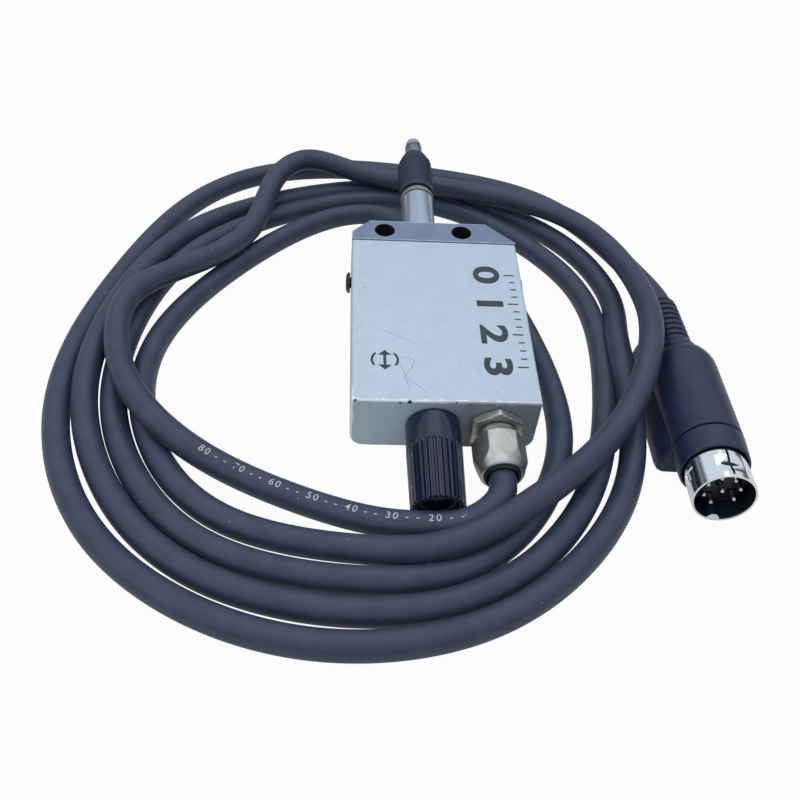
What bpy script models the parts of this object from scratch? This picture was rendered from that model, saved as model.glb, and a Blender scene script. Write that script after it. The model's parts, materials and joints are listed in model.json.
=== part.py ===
"""Digital measuring probe with its signal cord and round plug.

The probe is modelled level in its own frame: x to the right, y towards the contact point, z out of the
cover, with the near face of the case at y = 0 and its underside at z = 0. One empty carries that frame to
where the probe lies, its cap on the table and its far end raised on the cord. The cord and the plug lie on
z = 0. Lengths are in metres.
"""

import math

import bmesh
import bpy
import numpy as np
from mathutils import Vector

# How the probe lies
PROBE_TILT = math.radians(7.0)
SEAT_BEHIND_ORIGIN = 0.0391

# The gap that neighbouring pieces keep
GAP = 0.0003

# Case
CASE_WIDTH = 0.038
CASE_LENGTH = 0.050
CASE_HEIGHT = 0.014
CASE_WALL = 0.0016
CASE_LOWER_ROUND = 0.003
CASE_EDGE = 0.00025

# Flange block and its spigot
FLANGE_THICKNESS = 0.0069
FLANGE_CHAMFER_LEFT = 0.0042
FLANGE_CHAMFER_RIGHT = 0.0064
FLANGE_HOLE_RADIUS = 0.00225
FLANGE_HOLE_SPACING = 0.018
SPIGOT_LENGTH = 0.012
SEAL_WIDTH = 0.0013
SEAL_HEIGHT = 0.0008
SEAL_FROM_MOUTH = 0.0022

# Side screws
SIDE_SCREW_RADIUS = 0.0012
SIDE_SCREW_HEAD_RADIUS = 0.0024
SIDE_SCREW_HEAD_HEIGHT = 0.0009
SIDE_SCREW_LENGTH = 0.0045
SIDE_SCREW_FROM_MOUTH = 0.009
SIDE_SCREW_ABOVE_MIDDLE = 0.0015

# Measuring axis, stem and spindle
MEASURING_AXIS_X = -0.0024
STEM_RADIUS = 0.004
STEM_LENGTH = 0.0175
STEM_BORE_RADIUS = 0.0027
STEM_NECK_RADIUS = 0.0034
STEM_NECK_LENGTH = 0.0043
BUSH_LENGTH = 0.008
SPINDLE_RADIUS = 0.0015
SPINDLE_BEHIND_CARRIER = 0.0075
STROKE = 0.005

# Bellows, its clamp ring and the contact end
CLAMP_WIDTH = 0.0018
BELLOWS_RADIUS = 0.0044
BELLOWS_WALL = 0.0006
BELLOWS_SKIRT = 0.0018
BELLOWS_FOLDS = 10
BELLOWS_FOLD_PITCH = 0.00115
BELLOWS_FOLD_DEPTH = 0.0004
BELLOWS_NECK_RADIUS = 0.0036
BELLOWS_NECK_LENGTH = 0.003
BELLOWS_LIP_RADIUS = 0.0024
COLLAR_RADIUS = 0.00225
COLLAR_LENGTH = 0.004
CONTACT_RADIUS = 0.002
CONTACT_LENGTH = 0.0029
CONTACT_STUD_RADIUS = 0.0009

# Carriage inside the case
CHASSIS_PLATE = 0.001
CHASSIS_WALL = 0.0012
CARRIER_LENGTH = 0.008
CHASSIS_FROM_END = 0.0050
CHASSIS_SIDE_ROOM = 0.0029
END_WALL_HALF_WIDTH = 0.009
SPRING_WALL_HALF_WIDTH = 0.005
CARRIER_HALF_WIDTH = 0.0035
CARRIER_ABOVE_PLATE = 0.0004
CARRIER_FROM_SPIGOT = 0.017
CARRIER_ARM = 0.0028
GUIDE_PIN_RADIUS = 0.0008
GUIDE_PIN_REACH = 0.0102
SCALE_THICKNESS = 0.001
SCALE_FROM_START = 0.004
SCALE_FROM_SPIGOT = 0.003
SPRING_RADIUS = 0.0024
SPRING_WIRE_RADIUS = 0.0003
SPRING_TURNS = 7
BOARD_THICKNESS = 0.001
BOARD_FROM_START = 0.003
BOARD_FROM_SPIGOT = 0.0022
BOARD_X = 0.0093
HEAD_ALONG_BOARD = 0.004
HEAD_LENGTH = 0.012
CHIP_ALONG_BOARD = 0.012
CHIP_LENGTH = 0.008
CONNECTOR_ALONG_BOARD = 0.0025
CONNECTOR_LENGTH = 0.0055
GUIDE_WALL_FROM_AXIS = 0.0098
GUIDE_WALL_BEHIND_CARRIER = 0.007
GUIDE_WALL_LENGTH = 0.017
CHASSIS_SCREW_FROM_AXIS = 0.0068
SMALL_SCREW_RADIUS = 0.0009
SMALL_SCREW_HEAD_RADIUS = 0.0017

# Rear cap and its nipple
CAP_RADIUS = 0.0056
CAP_END_RADIUS = 0.0053
CAP_LENGTH = 0.0213
CAP_SMOOTH_LENGTH = 0.0073
CAP_RIBS = 30
CAP_RIB_DEPTH = 0.00035
CAP_END_EDGE = 0.0004
CAP_RECESS_RADIUS = 0.0041
CAP_RECESS_DEPTH = 0.003
CAP_BORE_DEPTH = 0.0105
CAP_SEAL_RADIUS = 0.0042
CAP_SEAL_SECTION = 0.0004
NIPPLE_RADIUS = 0.0028
NIPPLE_BORE_RADIUS = 0.001
NIPPLE_NUT_THICKNESS = 0.002
NIPPLE_NUT_FLATS = 0.0082

# Cord gland
GLAND_AXIS_X = 0.0105
GLAND_THREAD_RADIUS = 0.0032
GLAND_NECK_RADIUS = 0.0040
GLAND_NUT_FLATS = 0.0102
GLAND_NUT_THICKNESS = 0.0018
GLAND_CAP_FLATS = 0.0104
GLAND_CAP_START = 0.0053
GLAND_CAP_SHOULDER = 0.0108
GLAND_CAP_END = 0.0135
GLAND_SEAL_RADIUS = 0.00375
GLAND_INSIDE = 0.0045

# Cord
CORD_RADIUS = 0.00275
CORD_CORE_RADIUS = 0.0016
CORD_LONG_SPAN = 0.0247

# Plug: lengths run from its mouth towards the cord
PLUG_MOUTH_X = 0.0525
PLUG_MOUTH_Y = -0.0586
PLUG_TURN = math.radians(-3.04)
PLUG_RADIUS = 0.0073
PLUG_BODY_START = 0.0138
PLUG_BODY_END = 0.0425
PLUG_REAR_ROUND = 0.004
PLUG_REAR_RADIUS = 0.0056
PLUG_COLLAR_START = 0.0076
PLUG_COLLAR_RADIUS = 0.0070
PLUG_SHELL_RADIUS = 0.0062
PLUG_SHELL_WALL = 0.0004
PLUG_SHELL_LENGTH = 0.0125
PLUG_INSERT_START = 0.0042
PLUG_WING_REACH = 0.0093
PLUG_WING_TOP = 0.0058
PLUG_WING_END = 0.056
BOOT_LENGTH = 0.0197
BOOT_FOOT_RADIUS = 0.0050
BOOT_TIP_RADIUS = 0.0036
BOOT_RIBS = 6
PIN_RADIUS = 0.0005
PIN_CIRCLE_RADIUS = 0.0035
PIN_STEP = math.radians(47.0)
PIN_FIRST = math.radians(293.0)
PIN_TIP = 0.0012
PIN_LENGTH = 0.0118

# The way the cord lies, from inside the gland to inside the plug's boot, in millimetres
CORD_ROUTE_MM = (
    (10.5, -49.4, 6.7), (10.5, -53.4, 6.2), (9.8, -57.4, 6), (7, -61.2, 5.9), (3.2, -63.8, 5.7),
    (-1.5, -64.5, 5.2), (-8, -63.7, 4.4), (-17.5, -61.1, 3.4), (-43.5, -49.6, 4.5),
    (-60, -37.1, 8.5), (-69, -17.1, 8.5), (-68.5, 1.4, 9.5), (-56, 16.4, 8.5), (-44.5, 34.4, 8),
    (-39.5, 56.9, 10.5), (-31, 65.4, 12), (-16.5, 64.4, 9), (13.5, 55.9, 9), (37, 45.4, 9),
    (47.5, 29.4, 9), (50, 3.9, 12), (46, -19.6, 14.2), (37, -38.6, 9.5), (17.5, -59.1, 8.5),
    (-0.5, -70, 6.8), (-17.5, -69.1, 3.8), (-40.5, -62.6, 3), (-55.5, -47.6, 3), (-63, -24.1, 3),
    (-60, -0.1, 3), (-45, 27.4, 3), (-26.5, 46.4, 3.5), (-12.5, 50.9, 3.5), (0, 44.4, 3),
    (15.5, 22.9, 3), (23.5, -5.6, 3), (25, -36.6, 3), (16.5, -59.1, 3), (2, -72.6, 3),
    (-17.5, -75.6, 3), (-42, -69.6, 3), (-58, -54.6, 3), (-68, -30.1, 3), (-68.5, -0.6, 3),
    (-60.5, 26.4, 3), (-44, 45.4, 3), (-20, 58.4, 3), (0.5, 59.4, 3), (18, 49.4, 3),
    (35, 26.4, 3), (40, 3.9, 3), (37, -25.1, 3), (28.5, -52.6, 3), (13, -72.6, 3),
    (-7, -81.6, 3), (-32, -80.1, 3), (-53, -69.1, 3), (-68, -48.1, 3), (-74.5, -23.6, 5),
    (-72, 6.9, 5.5), (-62, 33.9, 5), (-45, 52.9, 3.5), (-21, 64.4, 3), (3, 64.9, 3.5),
    (24.5, 54.4, 3), (40.5, 35.4, 3), (46, 12.9, 3.5), (43.2, -5.1, 6), (41.8, -21.6, 6),
    (38, -46.6, 3), (24, -70.1, 3), (4.5, -84.6, 3), (-20, -89.1, 3), (-43.5, -83.1, 3),
    (-64, -67.1, 3), (-76.5, -43.1, 3), (-80, -14.6, 3), (-74.5, 19.9, 3), (-64, 50.9, 3),
    (-49, 68.4, 3.5), (-27, 76.4, 3.5), (3, 75.4, 3), (29, 66.4, 3), (43.6, 51.6, 3),
    (53.4, 22.8, 5.5), (55.8, 6.9, 7.4), (55.8, 2.8, 7.4), (55.3, -5.2, 7.4),
)

# Places that follow from the sizes above
AXIS_Z = CASE_HEIGHT / 2
FLANGE_START = CASE_LENGTH + GAP
FLANGE_END = FLANGE_START + FLANGE_THICKNESS
FLANGE_MIDDLE = (FLANGE_START + FLANGE_END) / 2
SPIGOT_START = FLANGE_START - SPIGOT_LENGTH
STEM_START = CASE_LENGTH - SEAL_FROM_MOUTH + GAP
PASSAGE_RADIUS = SPINDLE_RADIUS + 2 * GAP
CHASSIS_END = SPIGOT_START - GAP
CARRIER_START = CHASSIS_END - CARRIER_FROM_SPIGOT
CARRIER_HALF_HEIGHT = AXIS_Z - CASE_WALL - 2 * GAP - CHASSIS_PLATE - CARRIER_ABOVE_PLATE
STEM_END = FLANGE_END + STEM_LENGTH
STEM_NECK_END = STEM_END + STEM_NECK_LENGTH
BELLOWS_START = STEM_END + CLAMP_WIDTH + 2 * GAP
FOLDS_START = BELLOWS_START + BELLOWS_SKIRT
FOLDS_END = FOLDS_START + BELLOWS_FOLDS * BELLOWS_FOLD_PITCH
BELLOWS_END = FOLDS_END + 2 * BELLOWS_NECK_LENGTH - 0.0015
COLLAR_START = BELLOWS_END + GAP
COLLAR_END = COLLAR_START + COLLAR_LENGTH
SPINDLE_END = COLLAR_END - 0.0025
SEAT_HEIGHT = (
    (CAP_LENGTH - CAP_END_EDGE) * math.sin(PROBE_TILT) - (AXIS_Z - CAP_END_RADIUS) * math.cos(PROBE_TILT)
)

FINISHES = {
    "case_silver": ((0.62, 0.69, 0.78), 0.38, 0.35),
    "flange_alloy": ((0.30, 0.36, 0.44), 0.45, 0.6),
    "ground_steel": ((0.55, 0.60, 0.68), 0.25, 1.0),
    "nickel_plate": ((0.56, 0.53, 0.49), 0.28, 1.0),
    "olive_zinc": ((0.46, 0.46, 0.36), 0.4, 0.7),
    "brass_bush": ((0.62, 0.48, 0.22), 0.35, 1.0),
    "spring_steel": ((0.50, 0.51, 0.53), 0.3, 1.0),
    "black_steel": ((0.03, 0.035, 0.045), 0.4, 0.5),
    "cap_plastic": ((0.012, 0.02, 0.045), 0.32, 0.0),
    "plug_plastic": ((0.018, 0.025, 0.05), 0.5, 0.0),
    "seal_rubber": ((0.012, 0.012, 0.016), 0.75, 0.0),
    "bellows_rubber": ((0.015, 0.022, 0.045), 0.6, 0.0),
    "cord_jacket": ((0.03, 0.04, 0.07), 0.55, 0.0),
    "core_sheath": ((0.45, 0.45, 0.47), 0.6, 0.0),
    "board_green": ((0.02, 0.12, 0.05), 0.45, 0.0),
    "chip_black": ((0.02, 0.02, 0.02), 0.5, 0.0),
    "connector_white": ((0.75, 0.74, 0.70), 0.5, 0.0),
    "collar_grey": ((0.34, 0.36, 0.39), 0.4, 0.8),
    "contact_pale": ((0.74, 0.73, 0.70), 0.25, 0.2),
    "bright_chrome": ((0.80, 0.81, 0.82), 0.12, 1.0),
    "pin_nickel": ((0.70, 0.68, 0.62), 0.3, 1.0),
}


def clear_scene():
    for obj in list(bpy.data.objects):
        bpy.data.objects.remove(obj, do_unlink=True)


def collection(name):
    made = bpy.data.collections.new(name)
    bpy.context.scene.collection.children.link(made)
    return made


def finish(slot):
    """The material of a slot, made once."""
    if slot in bpy.data.materials:
        return bpy.data.materials[slot]
    colour, roughness, metallic = FINISHES[slot]
    made = bpy.data.materials.new(slot)
    made.use_nodes = True
    shader = made.node_tree.nodes["Principled BSDF"]
    shader.inputs["Base Color"].default_value = (*colour, 1.0)
    shader.inputs["Roughness"].default_value = roughness
    shader.inputs["Metallic"].default_value = metallic
    made.diffuse_color = (*colour, 1.0)
    return made


class Bench:
    """Where pieces are made: the object's collection and the one that holds the cutters."""

    def __init__(self):
        self.pieces = collection("measuring_probe")
        self.cutters = collection("cutters")
        self.cutters.hide_render = True

    def empty(self, name, parent=None, location=(0.0, 0.0, 0.0), rotation=(0.0, 0.0, 0.0)):
        made = bpy.data.objects.new(name, None)
        made.empty_display_size = 0.005
        made.location = location
        made.rotation_euler = rotation
        made.parent = parent
        self.pieces.objects.link(made)
        return made

    def piece(self, name, bm, slot, parent, location=(0.0, 0.0, 0.0)):
        """A named solid with its own material, from a bmesh."""
        bmesh.ops.recalc_face_normals(bm, faces=bm.faces)
        mesh = bpy.data.meshes.new(name)
        bm.to_mesh(mesh)
        bm.free()
        made = bpy.data.objects.new(name, mesh)
        made.location = location
        made.parent = parent
        if slot is None:
            made.hide_render = True
            made.display_type = "WIRE"
            self.cutters.objects.link(made)
        else:
            mesh.materials.append(finish(slot))
            self.pieces.objects.link(made)
        return made

    def tool(self, name, bm, parent, location=(0.0, 0.0, 0.0)):
        return self.piece(name, bm, None, parent, location)


def boolean(target, tool, operation="DIFFERENCE"):
    modifier = target.modifiers.new(f"{operation.lower()} {tool.name}", "BOOLEAN")
    modifier.operation = operation
    modifier.solver = "EXACT"
    modifier.object = tool


def soften(target, width, segments=2):
    """A small bevel on every sharp edge."""
    modifier = target.modifiers.new("edges", "BEVEL")
    modifier.width = width
    modifier.segments = segments
    modifier.limit_method = "ANGLE"
    modifier.angle_limit = math.radians(40)


def join_rings(bm, first, second):
    """Faces between two rings of vertices, either of which may be one vertex on the axis."""
    count = max(len(first), len(second))
    for k in range(count):
        after = (k + 1) % count
        corners = [first[k % len(first)], first[after % len(first)]]
        corners += [second[after % len(second)], second[k % len(second)]]
        face = []
        for corner in corners:
            if corner not in face:
                face.append(corner)
        if len(face) > 2:
            bm.faces.new(face)


def turned(outline, sides=28, phase=0.0, ribs=0):
    """A solid of revolution about Y. The outline runs as (y, radius), or (y, radius, groove depth).

    With ribs, each rib is a flat with a V groove beside it, and one flat's edge points straight down.
    """
    bm = bmesh.new()
    if ribs:
        sides = ribs * 3
        phase = math.pi / sides
    rings = []
    for y, radius, *more in outline:
        if radius == 0.0:
            rings.append([bm.verts.new((0.0, y, 0.0))])
            continue
        depth = more[0] if more else 0.0
        ring = []
        for k in range(sides):
            angle = phase + 2 * math.pi * k / sides
            at = radius - (depth if k % 3 == 0 else 0.0)
            ring.append(bm.verts.new((at * math.cos(angle), y, at * math.sin(angle))))
        rings.append(ring)
    last = len(rings) if outline[0][1] > 0.0 else len(rings) - 1
    for k in range(last):
        join_rings(bm, rings[k], rings[(k + 1) % len(rings)])
    return bm


def rod(start, end, radius, sides=24, edge=0.0):
    """A round bar along Y, with a chamfer of edge at both ends."""
    if edge:
        return turned(
            [(start, 0.0), (start, radius - edge), (start + edge, radius),
             (end - edge, radius), (end, radius - edge), (end, 0.0)],
            sides,
        )
    return turned([(start, 0.0), (start, radius), (end, radius), (end, 0.0)], sides)


def tube(start, end, bore, radius, sides=28, edge=0.0):
    """A round tube along Y, with a chamfer of edge on its outer rims."""
    return turned(
        [(start, bore), (start, radius - edge), (start + edge, radius),
         (end - edge, radius), (end, radius - edge), (end, bore)]
        if edge
        else [(start, bore), (start, radius), (end, radius), (end, bore)],
        sides,
    )


def along(bm, axis):
    """A bmesh made along Y, turned to run along X or Z."""
    for vertex in bm.verts:
        x, y, z = vertex.co
        vertex.co = (y, -x, z) if axis == "x" else (x, -z, y)
    return bm


def block(low, high, lower_round=0.0, steps=5):
    """A box between two corners, its two lower edges along Y rounded."""
    bm = bmesh.new()
    bmesh.ops.create_cube(bm, size=1.0)
    for vertex in bm.verts:
        vertex.co = [low[i] if vertex.co[i] < 0 else high[i] for i in range(3)]
    if lower_round:
        edges = [
            edge for edge in bm.edges
            if all(abs(vertex.co.z - low[2]) < 1e-7 for vertex in edge.verts)
            and abs(edge.verts[0].co.x - edge.verts[1].co.x) < 1e-7
        ]
        bmesh.ops.bevel(bm, geom=edges, offset=lower_round, segments=steps, profile=0.5, affect="EDGES")
    return bm


def plate(outline, low, high):
    """A flat outline of (x, y) points, from z = low to z = high."""
    bm = bmesh.new()
    bottom = [bm.verts.new((x, y, low)) for x, y in outline]
    top = [bm.verts.new((x, y, high)) for x, y in outline]
    bm.faces.new(bottom)
    bm.faces.new(top)
    for k in range(len(outline)):
        after = (k + 1) % len(outline)
        bm.faces.new((bottom[k], bottom[after], top[after], top[k]))
    return bm


def hexagon(bench, name, start, end, flats, slot, parent, vertex_up):
    """A hexagon bar along Y whose corners are turned off at both ends."""
    corner = flats / 2 / math.cos(math.pi / 6)
    phase = math.pi / 2 if vertex_up else 0.0
    bar = turned([(start, 0.0), (start, corner), (end, corner), (end, 0.0)], 6, phase)
    made = bench.piece(name, bar, slot, parent)
    rise = (corner - flats / 2) * 0.7
    reach = corner + GAP
    face = flats / 2 * 0.97
    slope = (reach - face) / rise
    barrel = turned(
        [
            (start - GAP, 0.0), (start - GAP, face - GAP * slope), (start + rise, reach),
            (end - rise, reach), (end + GAP, face - GAP * slope), (end + GAP, 0.0),
        ],
        26,
    )
    boolean(made, bench.tool(f"{name}_barrel", barrel, parent), "INTERSECT")
    return made


def bore(bench, target, name, bm, parent, location=(0.0, 0.0, 0.0)):
    boolean(target, bench.tool(name, bm, parent, location))


def smooth_points(route, longest_span):
    """Points on the smooth curve through a route: the route's own, and one in the middle of a long span."""
    points = np.array(route)
    chords = np.linalg.norm(np.diff(points, axis=0), axis=1)
    steps = np.sqrt(chords)
    count = len(points)
    matrix = np.eye(count)
    slopes = np.diff(points, axis=0) / steps[:, None]
    right = np.zeros((count, 3))
    for k in range(1, count - 1):
        matrix[k, k - 1:k + 2] = (steps[k - 1], 2 * (steps[k - 1] + steps[k]), steps[k])
        right[k] = 6 * (slopes[k] - slopes[k - 1])
    bends = np.linalg.solve(matrix, right)
    made = []
    for k in range(count - 1):
        made.append(points[k])
        if chords[k] > longest_span:
            middle = (points[k] + points[k + 1]) / 2
            made.append(middle - steps[k] ** 2 / 16 * (bends[k] + bends[k + 1]))
    made.append(points[-1])
    return [Vector(point) for point in made]


def curve_tube(bench, name, points, radius, resolution, slot, parent=None):
    """A tube with filled ends along a chain of points."""
    data = bpy.data.curves.new(name, "CURVE")
    data.dimensions = "3D"
    data.bevel_depth = radius
    data.bevel_resolution = resolution
    data.use_fill_caps = True
    spline = data.splines.new("POLY")
    spline.points.add(len(points) - 1)
    for point, place in zip(spline.points, points):
        point.co = (*place, 1.0)
    data.materials.append(finish(slot))
    made = bpy.data.objects.new(name, data)
    made.parent = parent
    bench.pieces.objects.link(made)
    return made


def make_case(bench, seat, axis, gland):
    """The deep drawn case: open at its far mouth, pierced for the nipple, the gland and the screws."""
    half = CASE_WIDTH / 2
    shell = block((-half, 0.0, 0.0), (half, CASE_LENGTH, CASE_HEIGHT), CASE_LOWER_ROUND)
    case = bench.piece("case", shell, "case_silver", seat)
    soften(case, CASE_EDGE, 1)
    inside = half - CASE_WALL
    room = block(
        (-inside, CASE_WALL, CASE_WALL),
        (inside, CASE_LENGTH + CASE_WALL, CASE_HEIGHT - CASE_WALL),
        CASE_LOWER_ROUND - CASE_WALL, 3,
    )
    bore(bench, case, "case_room", room, seat)
    bore(bench, case, "nipple_hole", rod(-CASE_WALL, 2 * CASE_WALL, NIPPLE_RADIUS + GAP), axis)
    bore(bench, case, "gland_hole", rod(-CASE_WALL, 2 * CASE_WALL, GLAND_THREAD_RADIUS + GAP), gland)
    through = along(rod(-CASE_WIDTH, CASE_WIDTH, SIDE_SCREW_RADIUS + GAP, 16), "x")
    bore(bench, case, "side_screw_holes", through, seat, side_screw_place())


def side_screw_place():
    return (0.0, CASE_LENGTH - SIDE_SCREW_FROM_MOUTH, AXIS_Z + SIDE_SCREW_ABOVE_MIDDLE)


def spigot_box(start, end, shrink):
    """The part of the spigot between two depths, smaller than the case's room by the gap and shrink."""
    inset = CASE_WALL + GAP + shrink
    half = CASE_WIDTH / 2 - inset
    return block((-half, start, inset), (half, end, CASE_HEIGHT - inset), CASE_LOWER_ROUND - CASE_WALL, 3)


def make_flange(bench, seat, axis):
    """The flange block: chamfered plate, spigot into the case, two bolt holes and the stem's bore."""
    half = CASE_WIDTH / 2
    plate_bm = block((-half, FLANGE_START, 0.0), (half, FLANGE_END, CASE_HEIGHT), CASE_LOWER_ROUND)
    flange = bench.piece("flange_block", plate_bm, "flange_alloy", seat)
    soften(flange, CASE_EDGE, 1)
    over = 0.002
    for side, size in ((-1, FLANGE_CHAMFER_LEFT), (1, FLANGE_CHAMFER_RIGHT)):
        wedge = [
            (side * (half + over), FLANGE_END - size - over),
            (side * (half + over), FLANGE_END + over),
            (side * (half - size - over), FLANGE_END + over),
        ]
        bore(bench, flange, f"flange_wedge_{side}", plate(wedge, -over, CASE_HEIGHT + over), seat)
    groove_end = CASE_LENGTH - SEAL_FROM_MOUTH
    groove_start = groove_end - SEAL_WIDTH - 2 * GAP
    depth = SEAL_HEIGHT + GAP
    rear = bench.tool("spigot_rear", spigot_box(SPIGOT_START, groove_start, 0.0), seat)
    core = bench.tool("spigot_core", spigot_box(SPIGOT_START + over, FLANGE_START + over, depth), seat)
    front = bench.tool("spigot_front", spigot_box(groove_end, FLANGE_START + over, 0.0), seat)
    for part in (core, rear, front):
        boolean(flange, part, "UNION")
    bore(bench, flange, "stem_bore", rod(STEM_START - GAP, FLANGE_END + over, STEM_RADIUS + GAP, 32), axis)
    bore(bench, flange, "flange_passage", rod(SPIGOT_START - over, FLANGE_START, PASSAGE_RADIUS, 24), axis)
    for side in (-1, 1):
        x = MEASURING_AXIS_X + side * FLANGE_HOLE_SPACING / 2
        hole = along(rod(-over, CASE_HEIGHT + over, FLANGE_HOLE_RADIUS, 24), "z")
        bore(bench, flange, f"bolt_hole_{side}", hole, seat, (x, FLANGE_MIDDLE, 0.0))
        blind = half - SIDE_SCREW_LENGTH - 2 * GAP
        screw_hole = along(rod(side * blind, side * CASE_WIDTH, SIDE_SCREW_RADIUS + GAP, 16), "x")
        bore(bench, flange, f"side_screw_bore_{side}", screw_hole, seat, side_screw_place())
        small = rod(SPIGOT_START - over, SPIGOT_START + 0.004, SMALL_SCREW_RADIUS + GAP, 12)
        bore(bench, flange, f"chassis_bore_{side}", small, axis, (side * CHASSIS_SCREW_FROM_AXIS, 0.0, 0.0))


def make_case_seal(bench, seat):
    """The rectangular rubber ring that lies in the spigot's groove."""
    end = CASE_LENGTH - SEAL_FROM_MOUTH - GAP
    start = end - SEAL_WIDTH
    seal = bench.piece("case_seal", spigot_box(start, end, 0.0), "seal_rubber", seat)
    over = 0.001
    inner = bench.tool("seal_room", spigot_box(start - over, end + over, SEAL_HEIGHT), seat)
    boolean(seal, inner)


def make_side_screws(bench, seat):
    """The two pan head screws that hold the case on the spigot."""
    half = CASE_WIDTH / 2
    for name, side in (("side_screw_left", -1), ("side_screw_right", 1)):
        head = half + GAP
        top = head + SIDE_SCREW_HEAD_HEIGHT
        outline = [
            (side * (half - SIDE_SCREW_LENGTH), 0.0),
            (side * (half - SIDE_SCREW_LENGTH), SIDE_SCREW_RADIUS),
            (side * head, SIDE_SCREW_RADIUS),
            (side * head, SIDE_SCREW_HEAD_RADIUS),
            (side * (top - 0.0004), SIDE_SCREW_HEAD_RADIUS * 0.95),
            (side * top, SIDE_SCREW_HEAD_RADIUS * 0.7),
            (side * top, 0.0),
        ]
        screw = bench.piece(name, along(turned(outline, 20), "x"), "black_steel", seat, side_screw_place())
        slot = block((side * top - 0.0004, -0.0002, -0.0013), (side * top + 0.0004, 0.0002, 0.0013))
        bore(bench, screw, f"{name}_slot", slot, seat, side_screw_place())


def make_stem(bench, axis):
    """The clamping stem with its bushes: a ground tube with a neck for the bellows."""
    outline = [
        (STEM_START, STEM_BORE_RADIUS),
        (STEM_START, STEM_RADIUS),
        (STEM_END - 0.0002, STEM_RADIUS),
        (STEM_END, STEM_RADIUS - 0.0002),
        (STEM_END, STEM_NECK_RADIUS),
        (STEM_NECK_END, STEM_NECK_RADIUS),
        (STEM_NECK_END, STEM_BORE_RADIUS),
    ]
    bench.piece("stem", turned(outline, 32), "ground_steel", axis)
    inner = SPINDLE_RADIUS + GAP
    outer = STEM_BORE_RADIUS - GAP
    front = STEM_NECK_END - 0.0008
    bench.piece("front_bush", tube(front - BUSH_LENGTH, front, inner, outer, 16), "brass_bush", axis)
    rear = STEM_START + 0.0008
    bench.piece("rear_bush", tube(rear, rear + BUSH_LENGTH, inner, outer, 16), "brass_bush", axis)


def make_chassis(bench, seat, axis):
    """The bracket in the case: floor plate, end wall, spring wall and the slotted guide wall."""
    floor = CASE_WALL + GAP
    top = CASE_HEIGHT - floor
    start = CHASSIS_FROM_END
    end = CHASSIS_END
    half = CASE_WIDTH / 2 - CASE_WALL - CHASSIS_SIDE_ROOM
    left = MEASURING_AXIS_X - GUIDE_WALL_FROM_AXIS
    guide_start = CARRIER_START - GUIDE_WALL_BEHIND_CARRIER
    base = block((-half, start, floor), (half, end, floor + CHASSIS_PLATE))
    chassis = bench.piece("chassis", base, "flange_alloy", seat)
    walls = {
        "end_wall": ((MEASURING_AXIS_X - END_WALL_HALF_WIDTH, end - CHASSIS_WALL, floor),
                     (MEASURING_AXIS_X + END_WALL_HALF_WIDTH, end, top)),
        "spring_wall": ((MEASURING_AXIS_X - SPRING_WALL_HALF_WIDTH, start, floor),
                        (MEASURING_AXIS_X + SPRING_WALL_HALF_WIDTH, start + CHASSIS_WALL, top)),
        "guide_wall": ((left, guide_start, floor),
                       (left + CHASSIS_WALL, guide_start + GUIDE_WALL_LENGTH, top - 0.001)),
    }
    for name, (low, high) in walls.items():
        boolean(chassis, bench.tool(name, block(low, high), seat), "UNION")
    bore(bench, chassis, "spindle_passage", rod(start - 0.001, start + 0.003, PASSAGE_RADIUS, 24), axis)
    bore(bench, chassis, "end_passage", rod(end - 0.002, end + 0.001, PASSAGE_RADIUS, 24), axis)
    middle = CARRIER_START + CARRIER_LENGTH / 2
    reach = GUIDE_PIN_RADIUS + GAP
    slot = block(
        (left - 0.001, middle - STROKE - reach, AXIS_Z - reach),
        (left + CHASSIS_WALL + 0.001, middle + reach, AXIS_Z + reach),
    )
    bore(bench, chassis, "guide_slot", slot, seat)
    for name, side in (("chassis_screw_left", -1), ("chassis_screw_right", 1)):
        hole = rod(end - 0.002, end + 0.001, SMALL_SCREW_RADIUS + GAP, 12)
        place = (side * CHASSIS_SCREW_FROM_AXIS, 0.0, 0.0)
        bore(bench, chassis, f"{name}_hole", hole, axis, place)
        face = end - CHASSIS_WALL - GAP
        outline = [
            (face - 0.001, 0.0),
            (face - 0.001, SMALL_SCREW_HEAD_RADIUS),
            (face, SMALL_SCREW_HEAD_RADIUS),
            (face, SMALL_SCREW_RADIUS),
            (SPIGOT_START + 0.0035, SMALL_SCREW_RADIUS),
            (SPIGOT_START + 0.0035, 0.0),
        ]
        bench.piece(name, turned(outline, 12), "black_steel", axis, place)


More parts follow.
